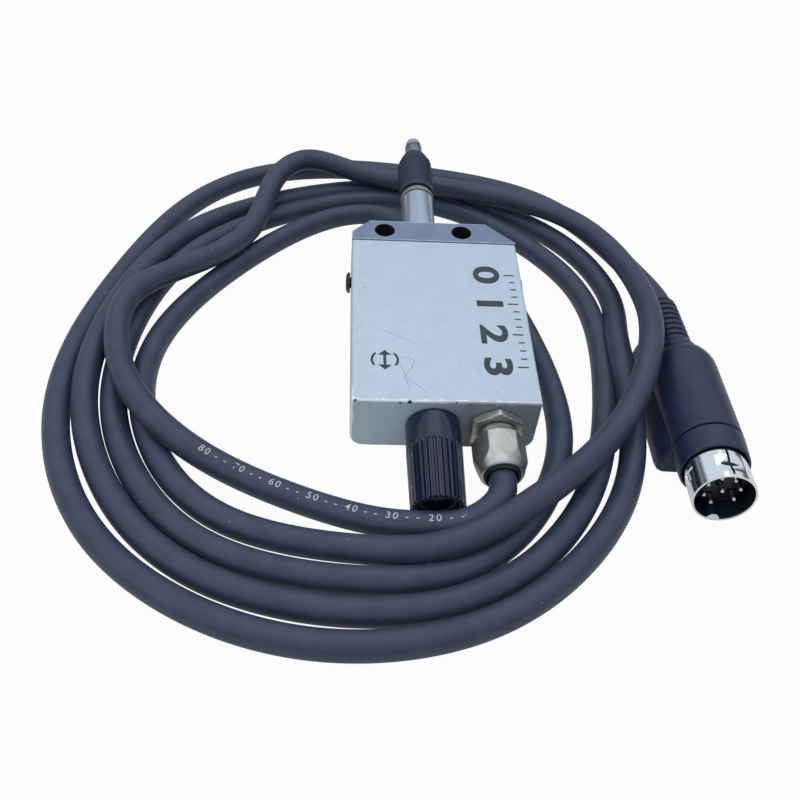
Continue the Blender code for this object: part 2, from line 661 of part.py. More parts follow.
def make_spindle(bench, axis):
    """What slides: the spindle, the carrier clamped on it, its guide pin and the scale."""
    tail = CARRIER_START - SPINDLE_BEHIND_CARRIER
    bench.piece("spindle", rod(tail, SPINDLE_END, SPINDLE_RADIUS, 20, 0.0002), "ground_steel", axis)
    half = CARRIER_HALF_WIDTH
    start = CARRIER_START
    end = start + CARRIER_LENGTH
    middle = (start + end) / 2
    body = block((-half, start, -CARRIER_HALF_HEIGHT), (half, end, CARRIER_HALF_HEIGHT))
    carrier = bench.piece("spindle_carrier", body, "flange_alloy", axis)
    arm_end = half + CARRIER_ARM
    arm = block((half - 0.001, start + 0.001, -0.002), (arm_end, end - 0.001, 0.002))
    boolean(carrier, bench.tool("carrier_arm", arm, axis), "UNION")
    over = 0.001
    bore(bench, carrier, "carrier_bore", rod(start - over, end + over, SPINDLE_RADIUS + GAP), axis)
    pin_hole = along(rod(-half - over, -SPINDLE_RADIUS - 0.0008, GUIDE_PIN_RADIUS + GAP, 8), "x")
    bore(bench, carrier, "pin_bore", pin_hole, axis, (0.0, middle, 0.0))
    screw_low = SPINDLE_RADIUS + GAP
    screw_hole = along(rod(screw_low - over, CARRIER_HALF_HEIGHT + over, SMALL_SCREW_RADIUS + GAP, 12), "z")
    bore(bench, carrier, "carrier_screw_bore", screw_hole, axis, (0.0, middle, 0.0))
    grub = along(rod(screw_low, CARRIER_HALF_HEIGHT, SMALL_SCREW_RADIUS, 12), "z")
    bench.piece("carrier_screw", grub, "black_steel", axis, (0.0, middle, 0.0))
    pin = along(rod(-GUIDE_PIN_REACH, -SPINDLE_RADIUS - 0.0011, GUIDE_PIN_RADIUS, 12), "x")
    bench.piece("guide_pin", pin, "ground_steel", axis, (0.0, middle, 0.0))
    scale_low = arm_end + GAP
    scale = block(
        (scale_low, CHASSIS_FROM_END + SCALE_FROM_START, -0.0026),
        (scale_low + SCALE_THICKNESS, CHASSIS_END - SCALE_FROM_SPIGOT, 0.0026),
    )
    bench.piece("scale_bar", scale, "ground_steel", axis)


def make_reader(bench, seat):
    """What reads the scale: reading head, circuit board, its chip and the cord's connector."""
    face = MEASURING_AXIS_X + CARRIER_HALF_WIDTH + CARRIER_ARM + GAP + SCALE_THICKNESS
    floor = CASE_WALL + 2 * GAP + CHASSIS_PLATE
    top = CASE_HEIGHT - CASE_WALL - GAP
    start = CHASSIS_FROM_END + BOARD_FROM_START
    head_start = start + HEAD_ALONG_BOARD
    head = block(
        (face + 0.0005, head_start, AXIS_Z - 0.003),
        (BOARD_X - GAP, head_start + HEAD_LENGTH, AXIS_Z + 0.003),
    )
    bench.piece("reading_head", head, "chip_black", seat)
    back = BOARD_X + BOARD_THICKNESS
    board = block((BOARD_X, start, floor), (back, CHASSIS_END - BOARD_FROM_SPIGOT, top - 0.0004))
    bench.piece("circuit_board", board, "board_green", seat)
    chip_start = start + CHIP_ALONG_BOARD
    chip = block(
        (back + GAP, chip_start, AXIS_Z - 0.003),
        (back + GAP + 0.0012, chip_start + CHIP_LENGTH, AXIS_Z + 0.003),
    )
    bench.piece("amplifier_chip", chip, "chip_black", seat)
    connector_start = start + CONNECTOR_ALONG_BOARD
    connector = block(
        (back + GAP, connector_start, AXIS_Z - 0.0025),
        (back + GAP + 0.0028, connector_start + CONNECTOR_LENGTH, AXIS_Z + 0.0025),
    )
    bench.piece("board_connector", connector, "connector_white", seat)
    wire_x = back + GAP + 0.0014
    wires = [
        Vector((GLAND_AXIS_X, 0.0068, AXIS_Z)),
        Vector((GLAND_AXIS_X + 0.0003, 0.0078, AXIS_Z)),
        Vector((wire_x, 0.0092, AXIS_Z)),
        Vector((wire_x, connector_start - GAP, AXIS_Z)),
    ]
    curve_tube(bench, "signal_wires", wires, 0.0007, 2, "core_sheath", seat)


def make_return_spring(bench, axis):
    """The compression spring between the spring wall and the carrier, a closed coil of round wire."""
    start = CHASSIS_FROM_END + CHASSIS_WALL + GAP + SPRING_WIRE_RADIUS
    end = CARRIER_START - GAP - SPRING_WIRE_RADIUS
    steps = SPRING_TURNS * 9
    coil = []
    for k in range(steps + 1):
        angle = 2 * math.pi * SPRING_TURNS * k / steps
        y = start + (end - start) * k / steps
        coil.append(Vector((SPRING_RADIUS * math.cos(angle), y, SPRING_RADIUS * math.sin(angle))))
    curve_tube(bench, "return_spring", coil, SPRING_WIRE_RADIUS, 1, "spring_steel", axis)


def make_contact_end(bench, axis):
    """Clamp ring, bellows, collar and the domed contact point."""
    inner = STEM_NECK_RADIUS + GAP
    clamp = tube(STEM_END + GAP, STEM_END + GAP + CLAMP_WIDTH, inner, STEM_RADIUS + 0.0002, 32, 0.00015)
    bench.piece("bellows_clamp", clamp, "olive_zinc", axis)
    outline = [(BELLOWS_START, inner), (BELLOWS_START, BELLOWS_RADIUS - 0.0003)]
    outline.append((BELLOWS_START + 0.0003, BELLOWS_RADIUS))
    for k in range(BELLOWS_FOLDS):
        crest = FOLDS_START + k * BELLOWS_FOLD_PITCH
        outline.append((crest, BELLOWS_RADIUS))
        outline.append((crest + BELLOWS_FOLD_PITCH / 2, BELLOWS_RADIUS - BELLOWS_FOLD_DEPTH))
    wall = BELLOWS_WALL
    lip = SPINDLE_RADIUS + GAP
    neck_start = FOLDS_END + BELLOWS_NECK_LENGTH * 0.4
    neck_end = FOLDS_END + BELLOWS_NECK_LENGTH
    outline += [
        (FOLDS_END, BELLOWS_RADIUS - 0.0001),
        (neck_start, BELLOWS_NECK_RADIUS),
        (neck_end, BELLOWS_NECK_RADIUS),
        (BELLOWS_END - 0.0006, BELLOWS_LIP_RADIUS),
        (BELLOWS_END, BELLOWS_LIP_RADIUS),
        (BELLOWS_END, lip),
        (BELLOWS_END - 0.0008, lip),
        (neck_end - wall / 2, BELLOWS_NECK_RADIUS - wall),
        (FOLDS_END, inner),
    ]
    bench.piece("bellows", turned(outline, 24), "bellows_rubber", axis)
    stud_bore = CONTACT_STUD_RADIUS + GAP
    outline = [
        (COLLAR_START, SPINDLE_RADIUS + GAP),
        (COLLAR_START, COLLAR_RADIUS),
        (COLLAR_END - 0.0002, COLLAR_RADIUS),
        (COLLAR_END, COLLAR_RADIUS - 0.0002),
        (COLLAR_END, stud_bore),
        (SPINDLE_END + GAP, stud_bore),
        (SPINDLE_END + GAP, SPINDLE_RADIUS + GAP),
    ]
    bench.piece("spindle_collar", turned(outline, 24), "collar_grey", axis)
    face = COLLAR_END + GAP
    tip = face + CONTACT_LENGTH
    outline = [
        (SPINDLE_END + 2 * GAP, 0.0),
        (SPINDLE_END + 2 * GAP, CONTACT_STUD_RADIUS),
        (face, CONTACT_STUD_RADIUS),
        (face, CONTACT_RADIUS),
    ]
    for k in range(5):
        angle = math.pi / 2 * k / 5
        outline.append((tip - 0.0018 * (1 - math.sin(angle)), CONTACT_RADIUS * math.cos(angle)))
    outline.append((tip, 0.0))
    bench.piece("contact_point", turned(outline, 24), "contact_pale", axis)


def make_rear_cap(bench, axis):
    """The ribbed cap with its seal, and the threaded nipple and nut under it."""
    bore_radius = NIPPLE_RADIUS + GAP
    groove_radius = CAP_SEAL_RADIUS + CAP_SEAL_SECTION + GAP
    groove_depth = GAP + 2 * CAP_SEAL_SECTION + GAP
    rib = CAP_RIB_DEPTH
    edge = CAP_LENGTH - CAP_END_EDGE
    slope = (CAP_RADIUS - CAP_END_RADIUS) / (edge - CAP_SMOOTH_LENGTH)
    rib_start = CAP_SMOOTH_LENGTH + 0.0005
    outline = [
        (-CAP_BORE_DEPTH, 0.0),
        (-CAP_BORE_DEPTH, bore_radius),
        (-groove_depth, bore_radius),
        (-groove_depth, groove_radius),
        (-GAP, groove_radius),
        (-GAP, CAP_RADIUS - 0.0003),
        (-GAP - 0.0003, CAP_RADIUS),
        (-CAP_SMOOTH_LENGTH, CAP_RADIUS),
        (-rib_start, CAP_RADIUS - slope * 0.0005, rib),
        (-edge, CAP_END_RADIUS, rib),
        (-CAP_LENGTH, CAP_END_RADIUS - CAP_END_EDGE, rib / 2),
        (-CAP_LENGTH, CAP_RECESS_RADIUS),
        (-CAP_LENGTH + CAP_RECESS_DEPTH, CAP_RECESS_RADIUS),
        (-CAP_LENGTH + CAP_RECESS_DEPTH, 0.0),
    ]
    bench.piece("rear_cap", turned(outline, ribs=CAP_RIBS), "cap_plastic", axis)
    section = []
    for k in range(6):
        angle = 2 * math.pi * k / 6
        middle = -2 * GAP - CAP_SEAL_SECTION * 0.8
        reach = CAP_SEAL_SECTION * 0.8
        section.append((middle + reach * math.sin(angle), CAP_SEAL_RADIUS + reach * math.cos(angle)))
    bench.piece("cap_seal", turned(section, 24), "seal_rubber", axis)
    nipple = tube(-CAP_BORE_DEPTH + 0.0007, 0.0043, NIPPLE_BORE_RADIUS, NIPPLE_RADIUS, 20, 0.0003)
    bench.piece("rear_nipple", nipple, "nickel_plate", axis)
    start = CASE_WALL + GAP
    end = start + NIPPLE_NUT_THICKNESS
    nut = hexagon(bench, "nipple_nut", start, end, NIPPLE_NUT_FLATS, "nickel_plate", axis, False)
    bore(bench, nut, "nipple_nut_bore", rod(start - 0.001, end + 0.001, bore_radius, 24), axis)


def make_gland(bench, gland):
    """Lock nut, threaded body, hexagon cap with its domed shoulder, rubber seal and the cord's core."""
    thread = GLAND_THREAD_RADIUS
    nut_end = -GAP
    nut_start = nut_end - GLAND_NUT_THICKNESS
    nut = hexagon(bench, "gland_nut", nut_start, nut_end, GLAND_NUT_FLATS, "nickel_plate", gland, True)
    bore(bench, nut, "gland_nut_bore", rod(nut_start - 0.001, nut_end + 0.001, thread + GAP, 24), gland)
    neck_end = nut_start - GAP
    neck_start = -GLAND_CAP_START + GAP
    core_bore = CORD_CORE_RADIUS + GAP
    seal_start = -GLAND_CAP_START - 0.003
    outline = [
        (GLAND_INSIDE, core_bore),
        (GLAND_INSIDE, thread - 0.0003),
        (GLAND_INSIDE - 0.0003, thread),
        (neck_end, thread),
        (neck_end, GLAND_NECK_RADIUS),
        (neck_start, GLAND_NECK_RADIUS),
        (neck_start, GLAND_SEAL_RADIUS),
        (seal_start + GAP, GLAND_SEAL_RADIUS),
        (seal_start + GAP, core_bore),
    ]
    bench.piece("gland_body", turned(outline, 24), "olive_zinc", gland)
    cap = hexagon(
        bench, "gland_cap", -GLAND_CAP_SHOULDER, -GLAND_CAP_START, GLAND_CAP_FLATS,
        "nickel_plate", gland, False,
    )
    base = GLAND_CAP_FLATS / 2 - 0.0003
    length = GLAND_CAP_END - GLAND_CAP_SHOULDER
    dome = [(-GLAND_CAP_SHOULDER + 0.001, 0.0), (-GLAND_CAP_SHOULDER + 0.001, base)]
    for k in range(5):
        angle = math.pi / 2 * k / 5
        drop = length * math.sin(angle)
        dome.append((-GLAND_CAP_SHOULDER - drop, base - 0.0009 * (1 - math.cos(angle))))
    dome.append((-GLAND_CAP_END, base - 0.0011))
    dome.append((-GLAND_CAP_END, 0.0))
    boolean(cap, bench.tool("gland_dome", turned(dome, 24), gland), "UNION")
    passage = rod(-GLAND_CAP_END - 0.001, -GLAND_CAP_START + 0.001, GLAND_SEAL_RADIUS + GAP, 24)
    bore(bench, cap, "gland_cap_bore", passage, gland)
    cord_bore = CORD_RADIUS + GAP
    outline = [
        (seal_start, cord_bore),
        (seal_start, GLAND_SEAL_RADIUS),
        (-GLAND_CAP_END - 0.0003, GLAND_SEAL_RADIUS),
        (-GLAND_CAP_END - 0.0007, GLAND_SEAL_RADIUS - 0.0003),
        (-GLAND_CAP_END - 0.0007, cord_bore),
    ]
    bench.piece("gland_seal", turned(outline, 20), "seal_rubber", gland)
    bench.piece("cord_core", rod(-0.0092, 0.0062, CORD_CORE_RADIUS, 16), "core_sheath", gland)


def make_cord(bench):
    route = [Vector(point) * 0.001 for point in CORD_ROUTE_MM]
    curve_tube(bench, "cord", smooth_points(route, CORD_LONG_SPAN), CORD_RADIUS, 3, "cord_jacket")


def make_plug(bench, plug):
    """The moulded plug: boot, body with its side wing, collar, shell, insert and eight pins."""
    cord_bore = CORD_RADIUS + GAP
    boot_start = PLUG_BODY_END + GAP
    boot_end = boot_start + BOOT_LENGTH
    rib_pitch = (BOOT_LENGTH - 0.0035) / BOOT_RIBS
    outline = [
        (boot_start, cord_bore),
        (boot_start, BOOT_FOOT_RADIUS),
        (boot_start + 0.001, BOOT_FOOT_RADIUS),
        (boot_start + 0.003, BOOT_FOOT_RADIUS - 0.0012),
    ]
    for k in range(BOOT_RIBS):
        y = boot_start + 0.0033 + k * rib_pitch
        radius = BOOT_FOOT_RADIUS - 0.001 + (BOOT_TIP_RADIUS - BOOT_FOOT_RADIUS + 0.001) * k / BOOT_RIBS
        outline.append((y, radius))
        outline.append((y + rib_pitch * 0.55, radius))
        outline.append((y + rib_pitch * 0.7, radius - 0.0004))
        outline.append((y + rib_pitch * 0.85, radius - 0.0004))
    outline.append((boot_end, BOOT_TIP_RADIUS))
    outline.append((boot_end, cord_bore))
    bench.piece("plug_boot", turned(outline, 20), "plug_plastic", plug)

    shell_bore = PLUG_SHELL_RADIUS + GAP
    outline = [(PLUG_BODY_START, 0.0), (PLUG_BODY_START, PLUG_RADIUS)]
    for k in range(5):
        angle = math.pi / 2 * k / 4
        y = PLUG_BODY_END - PLUG_REAR_ROUND * (1 - math.sin(angle))
        outline.append((y, PLUG_REAR_RADIUS + (PLUG_RADIUS - PLUG_REAR_RADIUS) * math.cos(angle)))
    outline.append((PLUG_BODY_END, 0.0))
    body = bench.piece("plug_body", turned(outline, 36), "plug_plastic", plug)
    low = 0.0001 - PLUG_RADIUS
    wing = [
        (-0.001, PLUG_BODY_START),
        (-PLUG_WING_REACH + 0.0013, PLUG_BODY_START),
        (-PLUG_WING_REACH, PLUG_BODY_START + 0.007),
        (-PLUG_WING_REACH, PLUG_WING_END - 0.007),
        (-PLUG_WING_REACH + 0.0022, PLUG_WING_END),
        (-BOOT_FOOT_RADIUS - 0.0006, PLUG_WING_END),
        (-BOOT_FOOT_RADIUS - 0.0006, PLUG_BODY_END - 0.002),
        (-0.001, PLUG_BODY_END - 0.002),
    ]
    wing_tool = bench.tool("plug_wing", plate(wing, low, low + PLUG_WING_TOP), plug)
    soften(wing_tool, 0.0006, 2)
    boolean(body, wing_tool, "UNION")
    room = rod(PLUG_BODY_START - 0.001, PLUG_BODY_START + 0.012, PLUG_SHELL_RADIUS - PLUG_SHELL_WALL, 24)
    bore(bench, body, "plug_room", room, plug)

    outline = [
        (PLUG_COLLAR_START, shell_bore),
        (PLUG_COLLAR_START, PLUG_COLLAR_RADIUS - 0.0002),
        (PLUG_COLLAR_START + 0.0003, PLUG_COLLAR_RADIUS),
        (PLUG_BODY_START - GAP - 0.0004, PLUG_RADIUS - 0.0001),
        (PLUG_BODY_START - GAP, PLUG_RADIUS - 0.0004),
        (PLUG_BODY_START - GAP, shell_bore),
    ]
    bench.piece("plug_collar", turned(outline, 36), "plug_plastic", plug)
    inner = PLUG_SHELL_RADIUS - PLUG_SHELL_WALL
    shell = tube(0.0, PLUG_SHELL_LENGTH, inner, PLUG_SHELL_RADIUS, 36)
    bench.piece("plug_shell", shell, "bright_chrome", plug)

    insert_end = PLUG_SHELL_LENGTH - 0.001
    disc = rod(PLUG_INSERT_START, insert_end, inner - GAP, 28)
    insert = bench.piece("plug_insert", disc, "chip_black", plug)
    places = [(0.0, 0.0)]
    for k in range(7):
        angle = PIN_FIRST + k * PIN_STEP
        places.append((-PIN_CIRCLE_RADIUS * math.cos(angle), PIN_CIRCLE_RADIUS * math.sin(angle)))
    for number, (x, z) in enumerate(places, 1):
        hole = rod(PLUG_INSERT_START - 0.001, insert_end + 0.001, PIN_RADIUS + GAP, 12)
        bore(bench, insert, f"pin_hole_{number}", hole, plug, (x, 0.0, z))
        outline = [
            (PIN_TIP, 0.0),
            (PIN_TIP + 0.0001, PIN_RADIUS * 0.6),
            (PIN_TIP + 0.0004, PIN_RADIUS),
            (PIN_TIP + PIN_LENGTH, PIN_RADIUS),
            (PIN_TIP + PIN_LENGTH, 0.0),
        ]
        bench.piece(f"pin_{number}", turned(outline, 8), "pin_nickel", plug, (x, 0.0, z))


def main():
    clear_scene()
    bench = Bench()
    seat = bench.empty("probe_seat", None, (0.0, -SEAT_BEHIND_ORIGIN, SEAT_HEIGHT), (PROBE_TILT, 0.0, 0.0))
    axis = bench.empty("measuring_axis", seat, (MEASURING_AXIS_X, 0.0, AXIS_Z))
    gland = bench.empty("gland_axis", seat, (GLAND_AXIS_X, 0.0, AXIS_Z))
    mouth = (PLUG_MOUTH_X, PLUG_MOUTH_Y, PLUG_RADIUS + 0.0001)
    plug = bench.empty("plug_axis", None, mouth, (0.0, 0.0, PLUG_TURN))
    make_case(bench, seat, axis, gland)
    make_flange(bench, seat, axis)
    make_case_seal(bench, seat)
    make_side_screws(bench, seat)
    make_stem(bench, axis)
    make_chassis(bench, seat, axis)
    make_spindle(bench, axis)
    make_reader(bench, seat)
    make_return_spring(bench, axis)
    make_contact_end(bench, axis)
    make_rear_cap(bench, axis)
    make_gland(bench, gland)
    make_cord(bench)
    make_plug(bench, plug)


main()
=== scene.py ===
"""Looks for the digital measuring probe: its visible pieces, materials, floor, lamps and camera.

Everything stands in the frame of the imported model, in metres. A piece that is turned about the probe's
measuring axis, its gland or its plug is worked out in that piece's own frame, with y along its axis, and
its points are then carried to where it lies, so that every finished object sits at the origin, unturned.
"""

import json
import logging
import math
from collections.abc import Callable
from dataclasses import dataclass, field
from enum import Enum

import bmesh
import bpy
import numpy as np
from mathutils import Matrix, Vector

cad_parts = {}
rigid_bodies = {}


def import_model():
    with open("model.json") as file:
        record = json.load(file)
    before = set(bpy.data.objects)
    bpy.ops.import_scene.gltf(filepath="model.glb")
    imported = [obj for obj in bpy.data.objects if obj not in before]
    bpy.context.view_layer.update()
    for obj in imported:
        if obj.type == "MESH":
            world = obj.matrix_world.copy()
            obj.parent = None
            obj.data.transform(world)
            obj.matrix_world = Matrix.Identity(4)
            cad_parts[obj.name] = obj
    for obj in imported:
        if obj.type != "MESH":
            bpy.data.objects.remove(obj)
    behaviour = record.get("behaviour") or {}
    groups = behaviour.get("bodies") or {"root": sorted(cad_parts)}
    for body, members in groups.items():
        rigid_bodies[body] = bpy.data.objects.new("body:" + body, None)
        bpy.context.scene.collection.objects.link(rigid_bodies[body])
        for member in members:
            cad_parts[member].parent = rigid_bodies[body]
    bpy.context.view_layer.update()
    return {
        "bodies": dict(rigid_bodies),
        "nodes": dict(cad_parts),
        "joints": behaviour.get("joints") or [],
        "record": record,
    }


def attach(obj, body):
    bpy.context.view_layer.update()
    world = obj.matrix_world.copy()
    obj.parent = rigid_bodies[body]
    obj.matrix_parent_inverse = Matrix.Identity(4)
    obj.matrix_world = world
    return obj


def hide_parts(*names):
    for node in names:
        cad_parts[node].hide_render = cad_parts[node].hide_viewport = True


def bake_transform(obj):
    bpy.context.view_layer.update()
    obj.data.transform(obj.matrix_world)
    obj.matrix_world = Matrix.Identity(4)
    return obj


log = logging.getLogger("probe")

Array = np.ndarray
Colour = tuple[float, float, float]
Point = tuple[float, float, float]
Outline = list | tuple | Array
Relief = Callable[[Array, Array, Array], Array]
Socket = bpy.types.NodeSocket
Sockets = bpy.types.bpy_prop_collection

# Where the probe lies
PROBE_TILT = math.radians(7.0)
SEAT_ORIGIN = (0.0, -0.0391, 0.00086)
AXIS_X = -0.0024
AXIS_Z = 0.007
GLAND_X = 0.0105

# Where the plug lies
PLUG_ORIGIN = (0.0525, -0.0586, 0.0074)
PLUG_TURN = math.radians(-3.04)

# The camera that took the photograph
CAMERA_PLACE = (-0.02232, -0.17977, 0.13451)
CAMERA_DOWN = 0.70831
CAMERA_RIGHT = 0.09230
CAMERA_ROLL = 0.08376
CAMERA_LENS = 42.35
CAMERA_SENSOR = 36.0
CAMERA_CLIP = (0.01, 10.0)
FLOOR_HALF = 1.5

# Welding distance, the angles above which an edge is sharp, and the area above which a cut face is flat
WELD = 1e-7
SHARP_ANGLE = math.radians(38)
CUT_SHARP_ANGLE = math.radians(35)
BEVEL_SHARP_ANGLE = math.radians(50)
BROAD_FACE = 0.000003

# Case and flange block
CASE_HALF = 0.019
CASE_LENGTH = 0.050
CASE_HEIGHT = 0.014
CASE_WALL = 0.0016
LOWER_ROUND = 0.003
SMALLEST_ROUND = 0.00005
CASE_EDGE = 0.0006
GAP = 0.0003
FLANGE_THICKNESS = 0.0069
BOLT_HOLE_RADIUS = 0.00225
BOLT_HOLE_SPACING = 0.018

# The outline of a side screw's head
SIDE_SCREW_HEAD = ((0.0, 0.0), (0.0, 0.0024), (0.0005, 0.00236), (0.0009, 0.0017), (0.0010, 0.0))

# Printing and scratches on the case's face, read from above
PRINT_LIFT = 0.00002
SCRATCHES = (
    ((-0.0138, 0.0204), (-0.0099, 0.0185), (-0.0074, 0.0171), (-0.0046, 0.0156)),
    ((-0.0099, 0.0119), (-0.0089, 0.0091), (-0.0081, 0.0067), (-0.0074, 0.0019)),
    ((-0.0096, 0.0117), (-0.0073, 0.0120), (-0.0063, 0.0107), (-0.0077, 0.0077), (-0.0084, 0.0063)),
    ((-0.0081, 0.0063), (-0.0063, 0.0047), (-0.0049, 0.0034), (-0.0037, 0.0014)),
)

# Stem
STEM_RADIUS = 0.004

# The turned shape that cuts the corners of the gland's hexagon cap
GLAND_CAP_TURNED = (
    (-0.0127, 0.0041), (-0.0124, 0.0044), (-0.0117, 0.0046), (-0.0110, 0.00482), (-0.0103, 0.0051),
    (-0.0094, 0.0054), (-0.0051, 0.0056), (-0.0046, 0.0049),
)

# Cord, and what it passes through
CORD_RADIUS = 0.00275
CORD_PASSAGE = 0.00305

# Height of a figure as a share of the font's size
FONT_HEIGHT = 0.7

# The way the cord lies, from inside the gland to inside the plug's boot
CORD_ROUTE = (
    (0.0105, -0.0494, 0.0067), (0.0105, -0.0534, 0.0062), (0.0098, -0.0574, 0.006),
    (0.007, -0.0612, 0.0059), (0.0032, -0.0638, 0.0057), (-0.0015, -0.0645, 0.0052),
    (-0.008, -0.0637, 0.0044), (-0.0175, -0.0611, 0.0034), (-0.0435, -0.0496, 0.0045),
    (-0.06, -0.0371, 0.0085), (-0.069, -0.0171, 0.0085), (-0.0685, 0.0014, 0.0095),
    (-0.056, 0.0164, 0.0085), (-0.0445, 0.0344, 0.008), (-0.0395, 0.0569, 0.0105),
    (-0.031, 0.0654, 0.012), (-0.0165, 0.0644, 0.009), (0.0135, 0.0559, 0.009),
    (0.037, 0.0454, 0.009), (0.0475, 0.0294, 0.009), (0.05, 0.0039, 0.012),
    (0.046, -0.0196, 0.0142), (0.037, -0.0386, 0.0095), (0.0175, -0.0591, 0.0085),
    (-0.0005, -0.07, 0.0068), (-0.0175, -0.0691, 0.0038), (-0.0405, -0.0626, 0.003),
    (-0.0555, -0.0476, 0.003), (-0.063, -0.0241, 0.003), (-0.06, -0.0001, 0.003),
    (-0.045, 0.0274, 0.003), (-0.0265, 0.0464, 0.0035), (-0.0125, 0.0509, 0.0035),
    (0.0, 0.0444, 0.003), (0.0155, 0.0229, 0.003), (0.0235, -0.0056, 0.003),
    (0.025, -0.0366, 0.003), (0.0165, -0.0591, 0.003), (0.002, -0.0726, 0.003),
    (-0.0175, -0.0756, 0.003), (-0.042, -0.0696, 0.003), (-0.058, -0.0546, 0.003),
    (-0.068, -0.0301, 0.003), (-0.0685, -0.0006, 0.003), (-0.0605, 0.0264, 0.003),
    (-0.044, 0.0454, 0.003), (-0.02, 0.0584, 0.003), (0.0005, 0.0594, 0.003),
    (0.018, 0.0494, 0.003), (0.035, 0.0264, 0.003), (0.04, 0.0039, 0.003),
    (0.037, -0.0251, 0.003), (0.0285, -0.0526, 0.003), (0.013, -0.0726, 0.003),
    (-0.007, -0.0816, 0.003), (-0.032, -0.0801, 0.003), (-0.053, -0.0691, 0.003),
    (-0.068, -0.0481, 0.003), (-0.0745, -0.0236, 0.005), (-0.072, 0.0069, 0.0055),
    (-0.062, 0.0339, 0.005), (-0.045, 0.0529, 0.0035), (-0.021, 0.0644, 0.003),
    (0.003, 0.0649, 0.0035), (0.0245, 0.0544, 0.003), (0.0405, 0.0354, 0.003),
    (0.046, 0.0129, 0.0035), (0.0432, -0.0051, 0.006), (0.0418, -0.0216, 0.006),
    (0.038, -0.0466, 0.003), (0.024, -0.0701, 0.003), (0.0045, -0.0846, 0.003),
    (-0.02, -0.0891, 0.003), (-0.0435, -0.0831, 0.003), (-0.064, -0.0671, 0.003),
    (-0.0765, -0.0431, 0.003), (-0.08, -0.0146, 0.003), (-0.0745, 0.0199, 0.003),
    (-0.064, 0.0509, 0.003), (-0.049, 0.0684, 0.0035), (-0.027, 0.0764, 0.0035),
    (0.003, 0.0754, 0.003), (0.029, 0.0664, 0.003), (0.0436, 0.0516, 0.003),
    (0.0534, 0.0228, 0.0055), (0.0558, 0.0069, 0.0074), (0.0558, 0.0028, 0.0074),
    (0.0553, -0.0052, 0.0074),
)


class Texture(Enum):
    """How the fine structure of a finish runs, each with the name of its effect."""

    GRAIN = "mottle"
    TURNED = "rings"
    BRUSHED = "streaks"


@dataclass(frozen=True)
class Finish:
    """A surface: two colours that it wanders between, and how it takes light.

    grain is in cells per metre, bump is the depth of the grain in metres, and dust and grime are shares
    from 0 to 1.
    """

    colour: Colour
    tone: Colour
    roughness: float
    metallic: float = 0.0
    texture: Texture = Texture.GRAIN
    grain: float = 5000.0
    bump: float = 0.00001
    dust: float = 0.0
    grime: float = 0.0


FINISHES: dict[str, Finish] = {
    "case_silver": Finish(
        (0.57, 0.65, 0.72), (0.54, 0.62, 0.69), 0.46, 0.12, grain=9000, bump=4e-6, grime=0.12,
    ),
    "flange_alloy": Finish(
        (0.215, 0.26, 0.37), (0.185, 0.225, 0.33), 0.42, 0.30, grain=9000, bump=6e-6, grime=0.3,
    ),
    "ground_steel": Finish(
        (0.50, 0.54, 0.64), (0.42, 0.46, 0.56), 0.30, 0.75, Texture.BRUSHED, 1500, 2e-6,
    ),
    "nickel_plate": Finish(
        (0.56, 0.55, 0.52), (0.45, 0.43, 0.39), 0.40, 0.9, grain=4000, bump=4e-6, grime=0.6,
    ),
    "olive_zinc": Finish(
        (0.29, 0.305, 0.275), (0.21, 0.225, 0.20), 0.42, 0.6, Texture.TURNED, 5000, 5e-6, grime=0.5,
    ),
    "brass_bush": Finish((0.62, 0.48, 0.22), (0.50, 0.37, 0.15), 0.35, 1.0, Texture.TURNED, 5000, 3e-6),
    "spring_steel": Finish((0.50, 0.51, 0.53), (0.38, 0.39, 0.42), 0.3, 1.0, grain=7000, bump=3e-6),
    "black_steel": Finish(
        (0.018, 0.021, 0.028), (0.035, 0.035, 0.04), 0.38, 0.4, grain=7000, bump=5e-6, dust=0.2,
    ),
    "cap_plastic": Finish(
        (0.006, 0.012, 0.034), (0.009, 0.016, 0.042), 0.15, grain=12000, bump=2e-6, dust=0.5,
    ),
    "plug_plastic": Finish(
        (0.011, 0.017, 0.050), (0.016, 0.023, 0.062), 0.40, grain=9000, bump=5e-6, dust=0.35,
    ),
    "seal_rubber": Finish(
        (0.008, 0.009, 0.014), (0.014, 0.015, 0.02), 0.6, grain=6000, bump=6e-6, dust=0.3,
    ),
    "bellows_rubber": Finish(
        (0.012, 0.018, 0.042), (0.019, 0.027, 0.056), 0.50, grain=9000, bump=8e-6, dust=0.4,
    ),
    "cord_jacket": Finish(
        (0.030, 0.042, 0.074), (0.039, 0.053, 0.092), 0.46, grain=7000, bump=6e-6, dust=0.6,
    ),
    "core_sheath": Finish((0.45, 0.45, 0.47), (0.36, 0.36, 0.38), 0.6),
    "board_green": Finish((0.02, 0.12, 0.05), (0.03, 0.16, 0.07), 0.4),
    "chip_black": Finish((0.005, 0.006, 0.014), (0.008, 0.010, 0.020), 0.42, grain=9000, bump=4e-6),
    "connector_white": Finish((0.75, 0.74, 0.70), (0.66, 0.65, 0.60), 0.5),
    "collar_grey": Finish(
        (0.24, 0.26, 0.31), (0.16, 0.18, 0.22), 0.38, 0.8, Texture.TURNED, 7000, 4e-6, grime=0.4,
    ),
    "contact_pale": Finish(
        (0.42, 0.42, 0.41), (0.30, 0.30, 0.30), 0.28, 0.35, grain=6000, bump=3e-6, grime=0.3,
    ),
    "bright_chrome": Finish((0.86, 0.87, 0.86), (0.78, 0.79, 0.78), 0.10, 1.0, grain=900, bump=4e-6),
    "pin_nickel": Finish((0.72, 0.70, 0.64), (0.60, 0.58, 0.52), 0.24, 1.0, Texture.TURNED, 6000, 3e-6),
}


